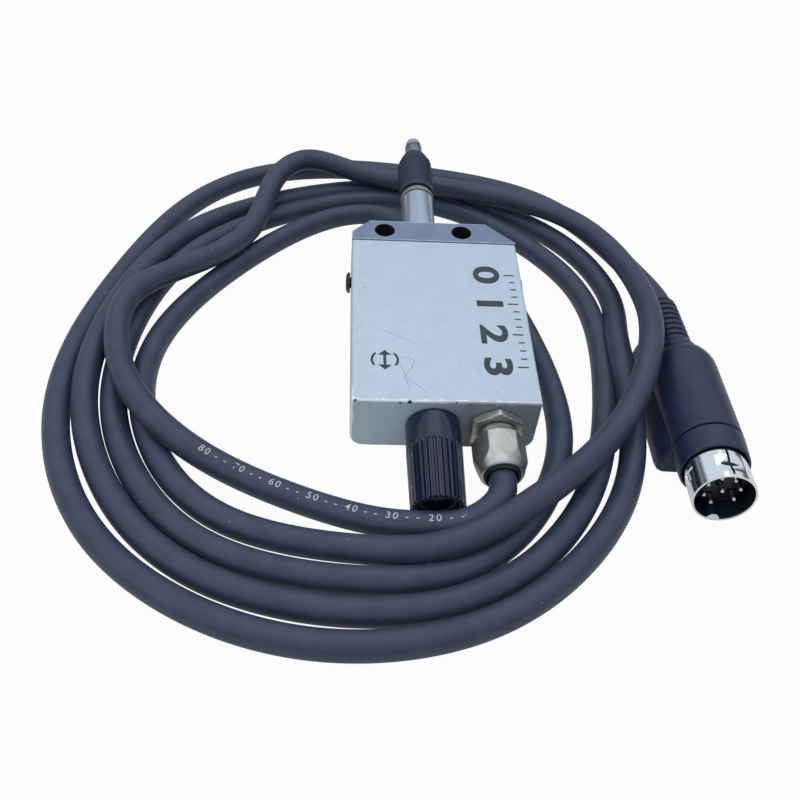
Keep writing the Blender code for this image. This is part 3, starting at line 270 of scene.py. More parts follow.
@dataclass(frozen=True)
class Frame:
    """A local frame in the model's frame: an origin, a tilt about X and a turn about Z."""

    origin: Point
    tilt: float = 0.0
    turn: float = 0.0

    def matrix(self) -> Array:
        """Rotation from the local frame to the model's frame."""
        rotation = Matrix.Rotation(self.turn, 3, "Z") @ Matrix.Rotation(self.tilt, 3, "X")
        return np.array(rotation)

    def world(self, points: Array) -> Array:
        """Points of the local frame in the model's frame."""
        return points @ self.matrix().T + np.array(self.origin)

    def shifted(self, offset: Point) -> "Frame":
        """A frame turned the same way whose origin is at a local point of this one."""
        origin = self.world(np.array(offset, float))
        return Frame(tuple(float(value) for value in origin), self.tilt, self.turn)


SEAT = Frame(SEAT_ORIGIN, tilt=PROBE_TILT)
MEASURING = SEAT.shifted((AXIS_X, 0.0, AXIS_Z))
GLAND = SEAT.shifted((GLAND_X, 0.0, AXIS_Z))
PLUG = Frame(PLUG_ORIGIN, turn=PLUG_TURN)
FLOOR = Frame((0.0, 0.0, 0.0))


class NodeTree:
    """A shader node tree that is filled one node at a time."""

    def __init__(self, tree: bpy.types.NodeTree) -> None:
        """Take a tree to fill."""
        self.tree = tree

    def add(self, kind: str, inputs: dict | None = None, **settings: object) -> bpy.types.Node:
        """Add a node.

        Args:
            kind: the node's type name.
            inputs: for each input socket, a value or the socket that feeds it.
            settings: properties of the node itself.

        Returns:
            The new node.
        """
        node = self.tree.nodes.new(kind)
        for name, value in settings.items():
            setattr(node, name, value)
        for name, value in (inputs or {}).items():
            self.feed(node.inputs[name], value)
        return node

    def feed(self, socket: Socket, value: object) -> None:
        """Link a socket into another, or set its value.

        Args:
            socket: the input.
            value: a value, or the output that feeds it.
        """
        if isinstance(value, bpy.types.NodeSocket):
            self.tree.links.new(value, socket)
        else:
            socket.default_value = value

    def math(self, operation: str, *values: object, clamp: bool = False) -> Socket:
        """The result of a math node."""
        inputs = dict(enumerate(values))
        return self.add("ShaderNodeMath", inputs, operation=operation, use_clamp=clamp).outputs[0]

    def vector(self, operation: str, *values: object) -> Socket:
        """The result of a vector math node: a number for a distance, otherwise a vector."""
        node = self.add("ShaderNodeVectorMath", dict(enumerate(values)), operation=operation)
        return node.outputs["Value" if operation == "DISTANCE" else "Vector"]

    def ramp(
        self, value: object, low: float, high: float, start: float = 0.0, end: float = 1.0,
    ) -> Socket:
        """A smooth step from start to end while a value goes from low to high.

        Args:
            value: the value or its socket.
            low: where the step starts.
            high: where it ends.
            start: the result below it.
            end: the result above it.

        Returns:
            the result.
        """
        inputs = {"Value": value, "From Min": low, "From Max": high, "To Min": start, "To Max": end}
        node = self.add("ShaderNodeMapRange", inputs, interpolation_type="SMOOTHSTEP")
        return node.outputs["Result"]

    def mixed(self, share: object, first: object, second: object) -> Socket:
        """A colour between two."""
        inputs = {"Factor": share, 6: opaque(first), 7: opaque(second)}
        return self.add("ShaderNodeMix", inputs, data_type="RGBA", clamp_factor=True).outputs[2]

    def between(self, share: object, first: object, second: object) -> Socket:
        """A number between two."""
        return self.add("ShaderNodeMix", {0: share, 2: first, 3: second}, data_type="FLOAT").outputs[0]

    def noise(self, vector: object, scale: object, detail: float = 2.0, rough: float = 0.5) -> Socket:
        """The grey value of a noise texture."""
        inputs = {"Vector": vector, "Scale": scale, "Detail": detail, "Roughness": rough}
        return self.add("ShaderNodeTexNoise", inputs).outputs[0]


def opaque(colour: object) -> object:
    """A colour with its alpha, where it isn't a socket."""
    return (*colour, 1.0) if isinstance(colour, tuple) else colour


def emptied(owner: bpy.types.Material | bpy.types.World) -> NodeTree:
    """The node tree of a material or a world, with nothing in it.

    Args:
        owner: the material or world.

    Returns:
        its nodes.
    """
    owner.use_nodes = True
    owner.node_tree.nodes.clear()
    return NodeTree(owner.node_tree)


@dataclass(frozen=True)
class Weave:
    """How a texture's fine grain is drawn out, and how its tone drifts.

    stretch scales the grain along x, y and z. grain and drift are the detail and the roughness of their
    noises, slow is the drift's scale as a share of the grain's, and limits are the grey values between
    which the tone turns. The drift is drawn out like the grain if along is set.
    """

    stretch: Point
    grain: tuple[float, float]
    slow: float
    drift: tuple[float, float]
    limits: tuple[float, float]
    along: bool = False

    def fill(self, nodes: NodeTree, entry: Sockets) -> dict[str, Socket]:
        """The grain and the drift.

        Args:
            nodes: the group's own nodes.
            entry: the group's inputs by name.

        Returns:
            the output by its name.
        """
        drawn = nodes.vector("MULTIPLY", entry["Vector"], self.stretch)
        grain = nodes.noise(drawn, entry["Scale"], *self.grain)
        scale = nodes.math("MULTIPLY", entry["Scale"], self.slow)
        drift = nodes.noise(drawn if self.along else entry["Vector"], scale, *self.drift)
        return {"Grain": grain, "Drift": nodes.ramp(drift, *self.limits)}


def painted_hole_shade_mask(nodes: NodeTree, entry: Sockets) -> dict[str, Socket]:
    """The inside of a hole along the frame's z, for painted shade: everything nearer to its axis
    than its radius.

    Args:
        nodes: the group's own nodes.
        entry: the group's inputs by name.

    Returns:
        the output by its name.
    """
    flat = nodes.vector("MULTIPLY", entry["Vector"], (1.0, 1.0, 0.0))
    inside = nodes.math("SUBTRACT", entry["Radius"], nodes.vector("DISTANCE", flat, entry["Axis"]))
    return {"Mask": nodes.ramp(inside, -0.00001, 0.00002)}


def dust_mask(nodes: NodeTree, entry: Sockets) -> dict[str, Socket]:
    """Scattered specks: the cores of the cells of a Voronoi pattern that are picked by their colour.

    Args:
        nodes: the group's own nodes.
        entry: the group's inputs by name.

    Returns:
        the output by its name.
    """
    cells = nodes.add("ShaderNodeTexVoronoi", {"Vector": entry["Vector"], "Scale": 420.0}, feature="F1")
    core = nodes.ramp(cells.outputs["Distance"], 0.075, 0.03)
    chance = nodes.add("ShaderNodeSeparateColor", {0: cells.outputs["Color"]})
    limit = nodes.math("SUBTRACT", 1.0, nodes.math("MULTIPLY", entry["Amount"], 0.22))
    picked = nodes.math("GREATER_THAN", chance.outputs[0], limit)
    return {"Mask": nodes.math("MULTIPLY", core, picked)}


def rim_wear_and_highlight_mask(nodes: NodeTree, entry: Sockets) -> dict[str, Socket]:
    """Spots along the edges of a box, from the second least of the distances to its faces: rubbed
    edges, and on the case also a painted highlight.

    Args:
        nodes: the group's own nodes.
        entry: the group's inputs by name.

    Returns:
        the output by its name.
    """
    offset = nodes.vector("SUBTRACT", entry["Vector"], entry["Middle"])
    depth = nodes.vector("SUBTRACT", entry["Half"], nodes.vector("ABSOLUTE", offset))
    part = nodes.add("ShaderNodeSeparateXYZ", {0: depth}).outputs
    low = nodes.math("MINIMUM", part[0], part[1])
    high = nodes.math("MAXIMUM", part[0], part[1])
    second = nodes.math("MAXIMUM", low, nodes.math("MINIMUM", high, part[2]))
    coarse = nodes.noise(entry["Vector"], 420.0, 4.0, 0.7)
    reach = nodes.math("MULTIPLY", entry["Width"], nodes.ramp(coarse, 0.45, 0.80, 0.32, 1.0))
    reach = nodes.math("MULTIPLY", reach, entry["Amount"])
    return {"Mask": nodes.ramp(nodes.math("SUBTRACT", reach, second), -0.00002, 0.00003)}


def chip_mask(nodes: NodeTree, entry: Sockets) -> dict[str, Socket]:
    """One ragged chip: a ball round a point, its edge broken by noise.

    Args:
        nodes: the group's own nodes.
        entry: the group's inputs by name.

    Returns:
        the output by its name.
    """
    away = nodes.vector("DISTANCE", entry["Vector"], entry["Place"])
    ragged = nodes.noise(entry["Vector"], 1500.0, 2.0)
    edge = nodes.math("MULTIPLY", entry["Radius"], nodes.math("ADD", ragged, 0.5))
    return {"Mask": nodes.ramp(nodes.math("SUBTRACT", edge, away), -0.00003, 0.00005)}


def grime_mask(nodes: NodeTree, entry: Sockets) -> dict[str, Socket]:
    """Dirt in blotches, thin in the open and thicker where a noise gathers it.

    Args:
        nodes: the group's own nodes.
        entry: the group's inputs by name.

    Returns:
        the output by its name.
    """
    wide = nodes.noise(entry["Vector"], 110.0, 4.0, 0.65)
    fine = nodes.noise(entry["Vector"], 1400.0, 3.0, 0.7)
    both = nodes.math("MULTIPLY", nodes.ramp(wide, 0.45, 0.80), nodes.ramp(fine, 0.35, 0.75))
    return {"Mask": nodes.math("MULTIPLY", both, entry["Amount"], clamp=True)}


@dataclass(frozen=True)
class Effect:
    """A shared surface effect: the sockets of its node group and the function that fills it."""

    fill: Callable[[NodeTree, Sockets], dict[str, Socket]]
    numbers: tuple[str, ...]
    vectors: tuple[str, ...] = ()
    outputs: tuple[str, ...] = ("Mask",)

    def grouped(self, name: str) -> bpy.types.NodeTree:
        """The effect as a node group.

        Args:
            name: the group's name.

        Returns:
            the group.
        """
        tree = bpy.data.node_groups.new(name, "ShaderNodeTree")
        for label in ("Vector", *self.vectors):
            tree.interface.new_socket(label, in_out="INPUT", socket_type="NodeSocketVector")
        for label in self.numbers:
            tree.interface.new_socket(label, in_out="INPUT", socket_type="NodeSocketFloat")
        for label in self.outputs:
            tree.interface.new_socket(label, in_out="OUTPUT", socket_type="NodeSocketFloat")
        nodes = NodeTree(tree)
        nodes.add("NodeGroupOutput", self.fill(nodes, nodes.add("NodeGroupInput").outputs))
        return tree


WEAVES = {
    Texture.GRAIN: Weave((1.0, 1.0, 1.0), (4.0, 0.6), 0.03, (3.0, 0.55), (0.32, 0.68)),
    Texture.TURNED: Weave((0.02, 1.0, 0.02), (3.0, 0.7), 0.05, (2.0, 0.5), (0.3, 0.7)),
    Texture.BRUSHED: Weave((1.0, 0.03, 1.0), (3.0, 0.6), 0.35, (2.0, 0.5), (0.3, 0.7), along=True),
}
EFFECTS = {
    # The hole effect masks painted shade in the bolt holes
    "hole": Effect(painted_hole_shade_mask, ("Radius",), ("Axis",)),
    "dust": Effect(dust_mask, ("Amount",)),
    "rim_wear_and_highlight": Effect(rim_wear_and_highlight_mask, ("Width", "Amount"), ("Middle", "Half")),
    "chip": Effect(chip_mask, ("Radius",), ("Place",)),
    "grime": Effect(grime_mask, ("Amount",)),
    **{
        texture.value: Effect(weave.fill, ("Scale",), outputs=("Grain", "Drift"))
        for texture, weave in WEAVES.items()
    },
}
CHIPS: tuple[tuple[Point, float], ...] = (
    ((-0.0075, 0.0001, 0.0136), 0.00046),
    ((-0.0094, 0.0000, 0.0134), 0.00030),
    ((0.0017, 0.0002, 0.0136), 0.00026),
    ((-0.0182, 0.0003, 0.0136), 0.00034),
    ((-0.0152, 0.0000, 0.0126), 0.00016),
    ((-0.0161, 0.0332, 0.0140), 0.00016),
    ((-0.0172, 0.0210, 0.0140), 0.00015),
    ((0.0030, 0.0115, 0.0140), 0.00013),
    ((0.0101, 0.0030, 0.0140), 0.00015),
)
# Bare metal on rubbed case edges, which also serves as a painted highlight along the near edge
BARE_AND_HIGHLIT_SILVER: Colour = (0.93, 0.95, 0.96)
BARE_FLANGE: Colour = (0.42, 0.48, 0.56)
CHIP_DARK: Colour = (0.055, 0.065, 0.085)
# Painted shade on the case's near face, beside the cap and gland
PAINTED_SHADE_OLIVE: Colour = (0.060, 0.062, 0.055)
# Painted shade inside the flange's bolt holes
PAINTED_HOLE_SHADE: Colour = (0.006, 0.008, 0.014)
DUST_GREY: Colour = (0.42, 0.45, 0.50)
GRIME_BROWN: Colour = (0.075, 0.070, 0.058)


@dataclass
class Paintbox:
    """Makes each finish's material, once for each frame that its grain follows, and the inks."""

    made: dict[str, bpy.types.Material] = field(default_factory=dict)
    groups: dict[str, bpy.types.NodeTree] = field(default_factory=dict)

    def effect(self, nodes: NodeTree, name: str, **inputs: object) -> Sockets:
        """Put an effect into a material, its node group made once, and return its outputs.

        Args:
            nodes: the material's nodes.
            name: the effect's name in EFFECTS.
            inputs: the group's inputs by name.

        Returns:
            its outputs.
        """
        if name not in self.groups:
            self.groups[name] = EFFECTS[name].grouped(name)
        return nodes.add("ShaderNodeGroup", inputs, node_tree=self.groups[name]).outputs

    def material(self, slot: str, frame: Frame, label: str = "") -> bpy.types.Material:
        """The material of a finish whose texture lies in a local frame.

        Args:
            slot: the finish's name in FINISHES.
            frame: the frame that its grain and turning lines follow.
            label: tells apart the uses of one finish in several frames.

        Returns:
            The material.
        """
        name = f"{slot}_{label}" if label else slot
        if name in self.made:
            return self.made[name]
        finish = FINISHES[slot]
        material = bpy.data.materials.new(name)
        nodes = emptied(material)
        source = nodes.add("ShaderNodeTexCoord").outputs["Object"]
        turn = {"Location": frame.origin, "Rotation": (frame.tilt, 0.0, frame.turn)}
        place = nodes.add(
            "ShaderNodeMapping", {"Vector": source, **turn}, vector_type="TEXTURE",
        ).outputs[0]
        shader = self.surface(nodes, finish, place)
        if slot == "case_silver":
            self.case_wear_and_painted_light(nodes, shader, place)
        if slot == "flange_alloy":
            self.flange_wear_and_hole_shade(nodes, shader, place)
        nodes.add("ShaderNodeOutputMaterial", {"Surface": shader.outputs[0]})
        material.diffuse_color = opaque(finish.colour)
        self.made[name] = material
        return material

    def surface(self, nodes: NodeTree, finish: Finish, place: Socket) -> bpy.types.Node:
        """The Principled shader of a finish, with its grain, grime and dust.

        Args:
            nodes: the material's nodes.
            finish: the finish.
            place: the point in the piece's frame.

        Returns:
            the shader.
        """
        grain = self.effect(nodes, finish.texture.value, Vector=place, Scale=finish.grain)
        colour = nodes.mixed(grain["Drift"], finish.colour, finish.tone)
        colour = nodes.mixed(nodes.ramp(grain["Grain"], 0.55, 0.9, 0.0, 0.35), colour, finish.tone)
        rough = nodes.ramp(grain["Grain"], 0.2, 0.8, finish.roughness * 0.82, finish.roughness * 1.18)
        for name, amount, over, extra in (
            ("grime", finish.grime, GRIME_BROWN, 0.3), ("dust", finish.dust, DUST_GREY, 0.4),
        ):
            if amount:
                mask = self.effect(nodes, name, Vector=place, Amount=amount)[0]
                colour = nodes.mixed(mask, colour, over)
                rough = nodes.math("ADD", rough, nodes.math("MULTIPLY", mask, extra), clamp=True)
        height = {"Strength": 1.0, "Distance": finish.bump, "Height": grain["Grain"]}
        relief = nodes.add("ShaderNodeBump", height).outputs[0]
        look = {"Base Color": colour, "Roughness": rough, "Metallic": finish.metallic, "Normal": relief}
        return nodes.add("ShaderNodeBsdfPrincipled", look)

    def overlay_wear_and_painted_light(
        self, nodes: NodeTree, shader: bpy.types.Node, mask: Socket, colour: Colour, rough: float,
    ) -> None:
        """Show another colour and roughness of a shader where a mask lets it.

        Args:
            nodes: the material's nodes.
            shader: its shader.
            mask: where it shows.
            colour: the other colour.
            rough: the other roughness.
        """
        base, old = shader.inputs["Base Color"], shader.inputs["Roughness"]
        nodes.feed(base, nodes.mixed(mask, base.links[0].from_socket, colour))
        nodes.feed(old, nodes.between(mask, old.links[0].from_socket, rough))

    def case_wear_and_painted_light(self, nodes: NodeTree, shader: bpy.types.Node, place: Socket) -> None:
        """Bright edges, rubbed bare and partly a painted highlight, painted shade on the near face
        beside the cap, and dark chips of the painted case.

        Args:
            nodes: the material's nodes.
            shader: its shader.
            place: the point in the case's frame.
        """
        middle = (0.0, CASE_LENGTH / 2, CASE_HEIGHT / 2)
        half = (CASE_HALF, CASE_LENGTH / 2, CASE_HEIGHT / 2)
        part = nodes.add("ShaderNodeSeparateXYZ", {0: place}).outputs
        # Bright edges: rubbed paint, and along the near end also a painted highlight, so the amount is
        # greatest there
        amount = nodes.ramp(part[1], 0.001, 0.006, 1.0, 0.35)
        edge = self.effect(
            nodes, "rim_wear_and_highlight", Vector=place, Middle=middle, Half=half, Width=0.0012, Amount=amount,
        )
        self.overlay_wear_and_painted_light(nodes, shader, edge[0], BARE_AND_HIGHLIT_SILVER, 0.22)
        # Painted shade: the near face darkens toward its right side, where the cap and gland shade it
        front = nodes.math("LESS_THAN", part[1], 0.0003)
        streaky = nodes.noise(place, 130.0, 3.0, 0.6)
        reach = nodes.math("ADD", part[0], nodes.math("MULTIPLY", streaky, 0.006))
        painted_shade = nodes.math("MULTIPLY", front, nodes.ramp(reach, -0.004, 0.009, 0.0, 0.62))
        self.overlay_wear_and_painted_light(nodes, shader, painted_shade, PAINTED_SHADE_OLIVE, 0.5)
        total: object = 0.0
        for spot, radius in CHIPS:
            chip = self.effect(nodes, "chip", Vector=place, Place=spot, Radius=radius)[0]
            total = nodes.math("MAXIMUM", total, chip)
        self.overlay_wear_and_painted_light(nodes, shader, total, CHIP_DARK, 0.6)

    def flange_wear_and_hole_shade(self, nodes: NodeTree, shader: bpy.types.Node, place: Socket) -> None:
        """Rubbed edges of the flange block, and painted shade in its bolt holes.

        Args:
            nodes: the material's nodes.
            shader: its shader.
            place: the point in the case's frame.
        """
        along = CASE_LENGTH + GAP + FLANGE_THICKNESS / 2
        middle = (0.0, along, CASE_HEIGHT / 2)
        half = (CASE_HALF, FLANGE_THICKNESS / 2, CASE_HEIGHT / 2)
        edge = self.effect(
            nodes, "rim_wear_and_highlight", Vector=place, Middle=middle, Half=half, Width=0.0006, Amount=0.9,
        )
        self.overlay_wear_and_painted_light(nodes, shader, edge[0], BARE_FLANGE, 0.3)
        # Painted shade: the bolt holes' walls and rims are darkened to near black
        for side in (-1, 1):
            axis = (AXIS_X + side * BOLT_HOLE_SPACING / 2, along, 0.0)
            radius = BOLT_HOLE_RADIUS + 0.00012
            hole = self.effect(nodes, "hole", Vector=place, Axis=axis, Radius=radius)[0]
            self.overlay_wear_and_painted_light(nodes, shader, hole, PAINTED_HOLE_SHADE, 0.8)

    def ink(self, name: str) -> bpy.types.Material:
        """Printing ink, thin in places.

        Args:
            name: its name in INKS.

        Returns:
            the ink.
        """
        if name not in self.made:
            colour, roughness = INKS[name]
            material = bpy.data.materials.new(name)
            material.use_nodes = True
            nodes = NodeTree(material.node_tree)
            shader = material.node_tree.nodes["Principled BSDF"]
            source = nodes.add("ShaderNodeTexCoord").outputs["Object"]
            thin = nodes.ramp(nodes.noise(source, 2600.0, 3.0, 0.6), 0.35, 0.72)
            pale = tuple(value * 0.85 + 0.15 * 0.2 for value in colour)
            nodes.feed(shader.inputs["Base Color"], nodes.mixed(thin, colour, pale))
            nodes.feed(shader.inputs["Roughness"], roughness)
            self.made[name] = material
        return self.made[name]


INKS: dict[str, tuple[Colour, float]] = {
    "face_ink": ((0.016, 0.028, 0.040), 0.45),
    "scratch_grey": ((0.22, 0.25, 0.28), 0.5),
    "cord_ink": ((0.50, 0.53, 0.58), 0.5),
}
PAINTS = Paintbox()


def mesh_object(
    name: str, points: Array, faces: Array, caps: list[Array] | None = None,
) -> bpy.types.Object:
    """An object from arrays of points and four-cornered faces.

    Args:
        name: the piece's name.
        points: (n, 3) places in the model's frame.
        faces: (m, 4) indices of the points.
        caps: further faces, each an array of indices of any length.

    Returns:
        The object, smooth, with its sharp edges marked and its faces turned outward.
    """
    caps = caps or []
    corners = np.concatenate([faces.ravel(), *caps]).astype(np.int32)
    sizes = np.array([4] * len(faces) + [len(cap) for cap in caps], np.int32)
    starts = np.concatenate([[0], np.cumsum(sizes)[:-1]]).astype(np.int32)
    mesh = bpy.data.meshes.new(name)
    mesh.vertices.add(len(points))
    mesh.vertices.foreach_set("co", points.astype(np.float32).ravel())
    mesh.loops.add(len(corners))
    mesh.loops.foreach_set("vertex_index", corners)
    mesh.polygons.add(len(sizes))
    mesh.polygons.foreach_set("loop_start", starts)
    mesh.update(calc_edges=True)
    bm = bmesh.new()
    bm.from_mesh(mesh)
    bmesh.ops.remove_doubles(bm, verts=bm.verts, dist=WELD)
    bmesh.ops.recalc_face_normals(bm, faces=bm.faces)
    bm.to_mesh(mesh)
    bm.free()
    mesh.shade_smooth()
    mesh.set_sharp_from_angle(angle=SHARP_ANGLE)
    return linked(name, mesh)


def linked(name: str, data: bpy.types.ID) -> bpy.types.Object:
    """An object of a mesh or other data, in the scene.

    Args:
        name: the object's name.
        data: what it shows, such as a mesh.

    Returns:
        the object.
    """
    made = bpy.data.objects.new(name, data)
    bpy.context.scene.collection.objects.link(made)
    return made


def grid_faces(rows: int, columns: int, closed: bool) -> Array:
    """The faces of a grid of points whose columns wrap round, and whose rows do too if it is closed.

    Args:
        rows: how many rows there are.
        columns: the points of a row.
        closed: the last row joins the first.

    Returns:
        (n, 4) indices of the points.
    """
    row = np.arange(rows if closed else rows - 1)[:, None]
    column = np.arange(columns)[None, :]
    after = (column + 1) % columns
    below = (row + 1) % rows
    ring, next_ring = row * columns, below * columns
    corners = [ring + column, ring + after, next_ring + after, next_ring + column]
    return np.stack(np.broadcast_arrays(*corners), -1).reshape(-1, 4)


def skin(
    name: str, grid: Array, frame: Frame, closed: bool = False, caps: bool = False,
) -> bpy.types.Object:
    """A surface through a grid of local points, (rows, columns, 3).

    Each face joins a point, the next one round the row and the same two of the next row.

    Args:
        name: the piece's name.
        grid: the points, a row at a time.
        frame: the frame they are given in.
        closed: the last row joins the first.
        caps: the first and last rows are filled.

    Returns:
        the piece.
    """
    rows, columns, _ = grid.shape
    ends = [np.arange(columns)[::-1], np.arange(columns) + (rows - 1) * columns] if caps else None
    return mesh_object(name, frame.world(grid.reshape(-1, 3)), grid_faces(rows, columns, closed), ends)


def softened(outline: Outline, radius: float, steps: int = 3, closed: bool = False) -> Array:
    """An outline whose corners are rounded.

    Each corner becomes a quadratic curve that starts and ends radius away from it, or under half of the
    shorter side beside it: (1 - t) squared of its start, 2 t (1 - t) of the corner and t squared of its end.

    Args:
        outline: its corners in order.
        radius: what a curve takes of each side.
        steps: the sides of each curve.
        closed: the last corner joins the first.

    Returns:
        (n, 2) points.
    """
    points = np.array(outline, float)
    made = []
    for k, corner in enumerate(points):
        if not closed and k in (0, len(points) - 1):
            made.append(corner)
            continue
        before = points[k - 1] - corner
        after = points[(k + 1) % len(points)] - corner
        reach = min(radius, 0.45 * np.linalg.norm(before), 0.45 * np.linalg.norm(after))
        start = corner + before / np.linalg.norm(before) * reach
        end = corner + after / np.linalg.norm(after) * reach
        for t in np.linspace(0.0, 1.0, steps + 1):
            made.append((1 - t) ** 2 * start + 2 * t * (1 - t) * corner + t**2 * end)
    return np.array(made)


def refined(outline: Array, step: float, closed: bool = False) -> Array:
    """An outline with further points, so that none of its sides is longer than step.

    Args:
        outline: (n, 2) points.
        step: the longest side that stays.
        closed: the last point joins the first.

    Returns:
        (m, 2) points.
    """
    points = np.vstack([outline, outline[:1]]) if closed else outline
    made = []
    for first, second in zip(points[:-1], points[1:]):
        count = max(1, math.ceil(np.linalg.norm(second - first) / step))
        made.extend(first + (second - first) * k / count for k in range(count))
    if not closed:
        made.append(points[-1])
    return np.array(made)


def revolve(
    name: str, outline: Outline, frame: Frame, columns: int = 96, closed: bool = False,
    relief: Relief | None = None,
) -> bpy.types.Object:
    """A turned piece about the frame's y.

    A point of the outline at y with radius r becomes the ring (r cos a, y, r sin a), a going once round.

    Args:
        name: the piece's name.
        outline: (y, radius) points from one end to the other, or round a section if closed.
        frame: the frame whose y is the axis.
        columns: points round the axis.
        closed: whether the outline is a closed section.
        relief: given y, radius and angle arrays, the radius with its relief.

    Returns:
        The piece.
    """
    outline = np.asarray(outline, float)
    angle = np.linspace(0.0, 2 * np.pi, columns, endpoint=False)[None, :]
    y = outline[:, :1]
    radius = outline[:, 1:] + np.zeros_like(angle)
    if relief is not None:
        radius = relief(y, radius, angle)
    grid = np.stack([radius * np.cos(angle), y + np.zeros_like(angle), radius * np.sin(angle)], -1)
    return skin(name, grid, frame, closed)


def ring(
    name: str, section: Outline, radius: float, frame: Frame, columns: int = 96,
) -> bpy.types.Object:
    """A turned ring about the frame's y: a closed section, its corners rounded by a radius."""
    return revolve(name, softened(section, radius, 3, True), frame, columns, True)


def rod(start: float, end: float, radius: float) -> Outline:
    """The outline of a plain round rod."""
    return [(start, 0.0), (start, radius), (end, radius), (end, 0.0)]


def dressed(
    piece: bpy.types.Object, body: str, slot: str, frame: Frame, label: str, *nodes: str,
) -> bpy.types.Object:
    """Give a piece its material, let it ride on a body and stand for CAD nodes.

    Args:
        piece: the piece.
        body: the body that carries it, or nothing for a piece that rides on no body.
        slot: the finish's name in FINISHES.
        frame: the frame that the finish's grain follows.
        label: tells this frame's material apart.
        nodes: the CAD nodes that the piece replaces.

    Returns:
        The piece.
    """
    piece.data.materials.clear()
    piece.data.materials.append(PAINTS.material(slot, frame, label))
    if body:
        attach(piece, body)
    if nodes:
        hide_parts(*nodes)
    return piece


def bending(
    piece: bpy.types.Object, slot: str, frame: Frame, ends: tuple[float, float], node: str,
) -> None:
    """Dress a piece that lies between the probe and the plunger, its ends at two places along y.

    Args:
        piece: the piece.
        slot: its finish.
        frame: the frame of its axis.
        ends: the y of its still end and of its moving end.
        node: the CAD node that it replaces.
    """
    dressed(piece, "", slot, frame, "axis")
    start, end = (tuple(frame.world(np.array((0.0, y, 0.0)))) for y in ends)
    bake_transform(piece)
    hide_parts(node)


def printed(piece: bpy.types.Object, ink: str) -> bpy.types.Object:
    """Give flat printing its ink, on a surface of the probe.

    Args:
        piece: the printing.
        ink: its ink's name in INKS.

    Returns:
        the printing.
    """
    piece.data.materials.append(PAINTS.ink(ink))
    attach(piece, "probe")
    return piece


def rounded_section(upper: float, inset: float) -> Array:
    """The (x, z) points of the case's section with round corners, shrunk by an inset all round.

    Each corner is a quarter circle about its centre, centre + reach (cos a, sin a). The inset shortens the
    reach, and what the reach can't give moves the centre inward.

    Args:
        upper: the radius of the upper corners.
        inset: how far it is shrunk.

    Returns:
        (n, 2) points.
    """
    made = []
    corners = (
        (CASE_HALF, CASE_HEIGHT, upper, 0.0, 4), (-CASE_HALF, CASE_HEIGHT, upper, 90.0, 4),
        (-CASE_HALF, 0.0, LOWER_ROUND, 180.0, 10), (CASE_HALF, 0.0, LOWER_ROUND, 270.0, 10),
    )
    for x, z, radius, start, steps in corners:
        reach = max(radius - inset, SMALLEST_ROUND)
        pull = max(inset - radius + SMALLEST_ROUND, 0.0)
        centre_x = x - math.copysign(radius, x) - math.copysign(pull, x)
        centre_z = z + radius + pull if z == 0.0 else z - radius - pull
        for k in range(steps + 1):
            angle = math.radians(start + 90.0 * k / steps)
            made.append((centre_x + reach * math.cos(angle), centre_z + reach * math.sin(angle)))
    return np.array(made)


def lofted(name: str, rows: list[tuple[float, float]], frame: Frame, upper: float) -> bpy.types.Object:
    """A case-shaped solid from (y, inset) rows of the case's section.

    Args:
        name: the piece's name.
        rows: its (y, inset) rows in order.
        frame: the frame they are given in.
        upper: the radius of the upper corners.

    Returns:
        the piece.
    """
    sections = []
    for y, inset in rows:
        section = rounded_section(upper, inset)
        sections.append(np.column_stack([section[:, 0], np.full(len(section), y), section[:, 1]]))
    return skin(name, np.array(sections), frame, caps=True)


def edge_rows(y: float, inward: float, radius: float, steps: int = 4) -> list[tuple[float, float]]:
    """The (y, inset) rows that round an end, from its flat face at y to its full section.

    Along a quarter circle of angle a, y moves inward by radius (1 - sin a) and the inset is
    radius (1 - cos a).

    Args:
        y: the end's place.
        inward: 1 or -1, the way into the solid.
        radius: the round's radius.
        steps: the sides of the round.

    Returns:
        the rows, the flat face's first.
    """
    rows = []
    for k in range(steps + 1):
        angle = math.pi / 2 * k / steps
        rows.append((y + inward * radius * (1 - math.sin(angle)), radius * (1 - math.cos(angle))))
    return rows[::-1]


def applied(piece: bpy.types.Object) -> bpy.types.Object:
    """A piece with its modifiers made part of its mesh.

    Args:
        piece: the piece.

    Returns:
        the same piece.
    """
    bpy.context.view_layer.update()
    graph = bpy.context.evaluated_depsgraph_get()
    mesh = bpy.data.meshes.new_from_object(piece.evaluated_get(graph))
    piece.modifiers.clear()
    old = piece.data
    piece.data = mesh
    mesh.name = piece.name
    bpy.data.meshes.remove(old)
    return piece


def cut(target: bpy.types.Object, *tools: bpy.types.Object, operation: str = "DIFFERENCE") -> None:
    """Cut tools out of a piece, or join them to it, and remove them.

    Args:
        target: the piece that is cut.
        tools: the pieces that cut it.
        operation: DIFFERENCE, or UNION to join them.
    """
    for tool in tools:
        modifier = target.modifiers.new(tool.name, "BOOLEAN")
        modifier.operation = operation
        modifier.solver = "EXACT"
        modifier.object = tool
    applied(target)
    for tool in tools:
        bpy.data.objects.remove(tool)


def bevelled(target: bpy.types.Object, width: float, segments: int = 3, angle: float = 40.0) -> None:
    """Round the sharp edges of a piece and keep its flats flat to the light.

    Args:
        target: the piece.
        width: the bevel's width.
        segments: the sides of its round.
        angle: in degrees, what counts as a sharp edge.
    """
    modifier = target.modifiers.new("bevel", "BEVEL")
    modifier.width = width
    modifier.segments = segments
    modifier.limit_method = "ANGLE"
    modifier.angle_limit = math.radians(angle)
    modifier.harden_normals = True
    applied(target)
    target.data.shade_smooth()
    target.data.set_sharp_from_angle(angle=BEVEL_SHARP_ANGLE)


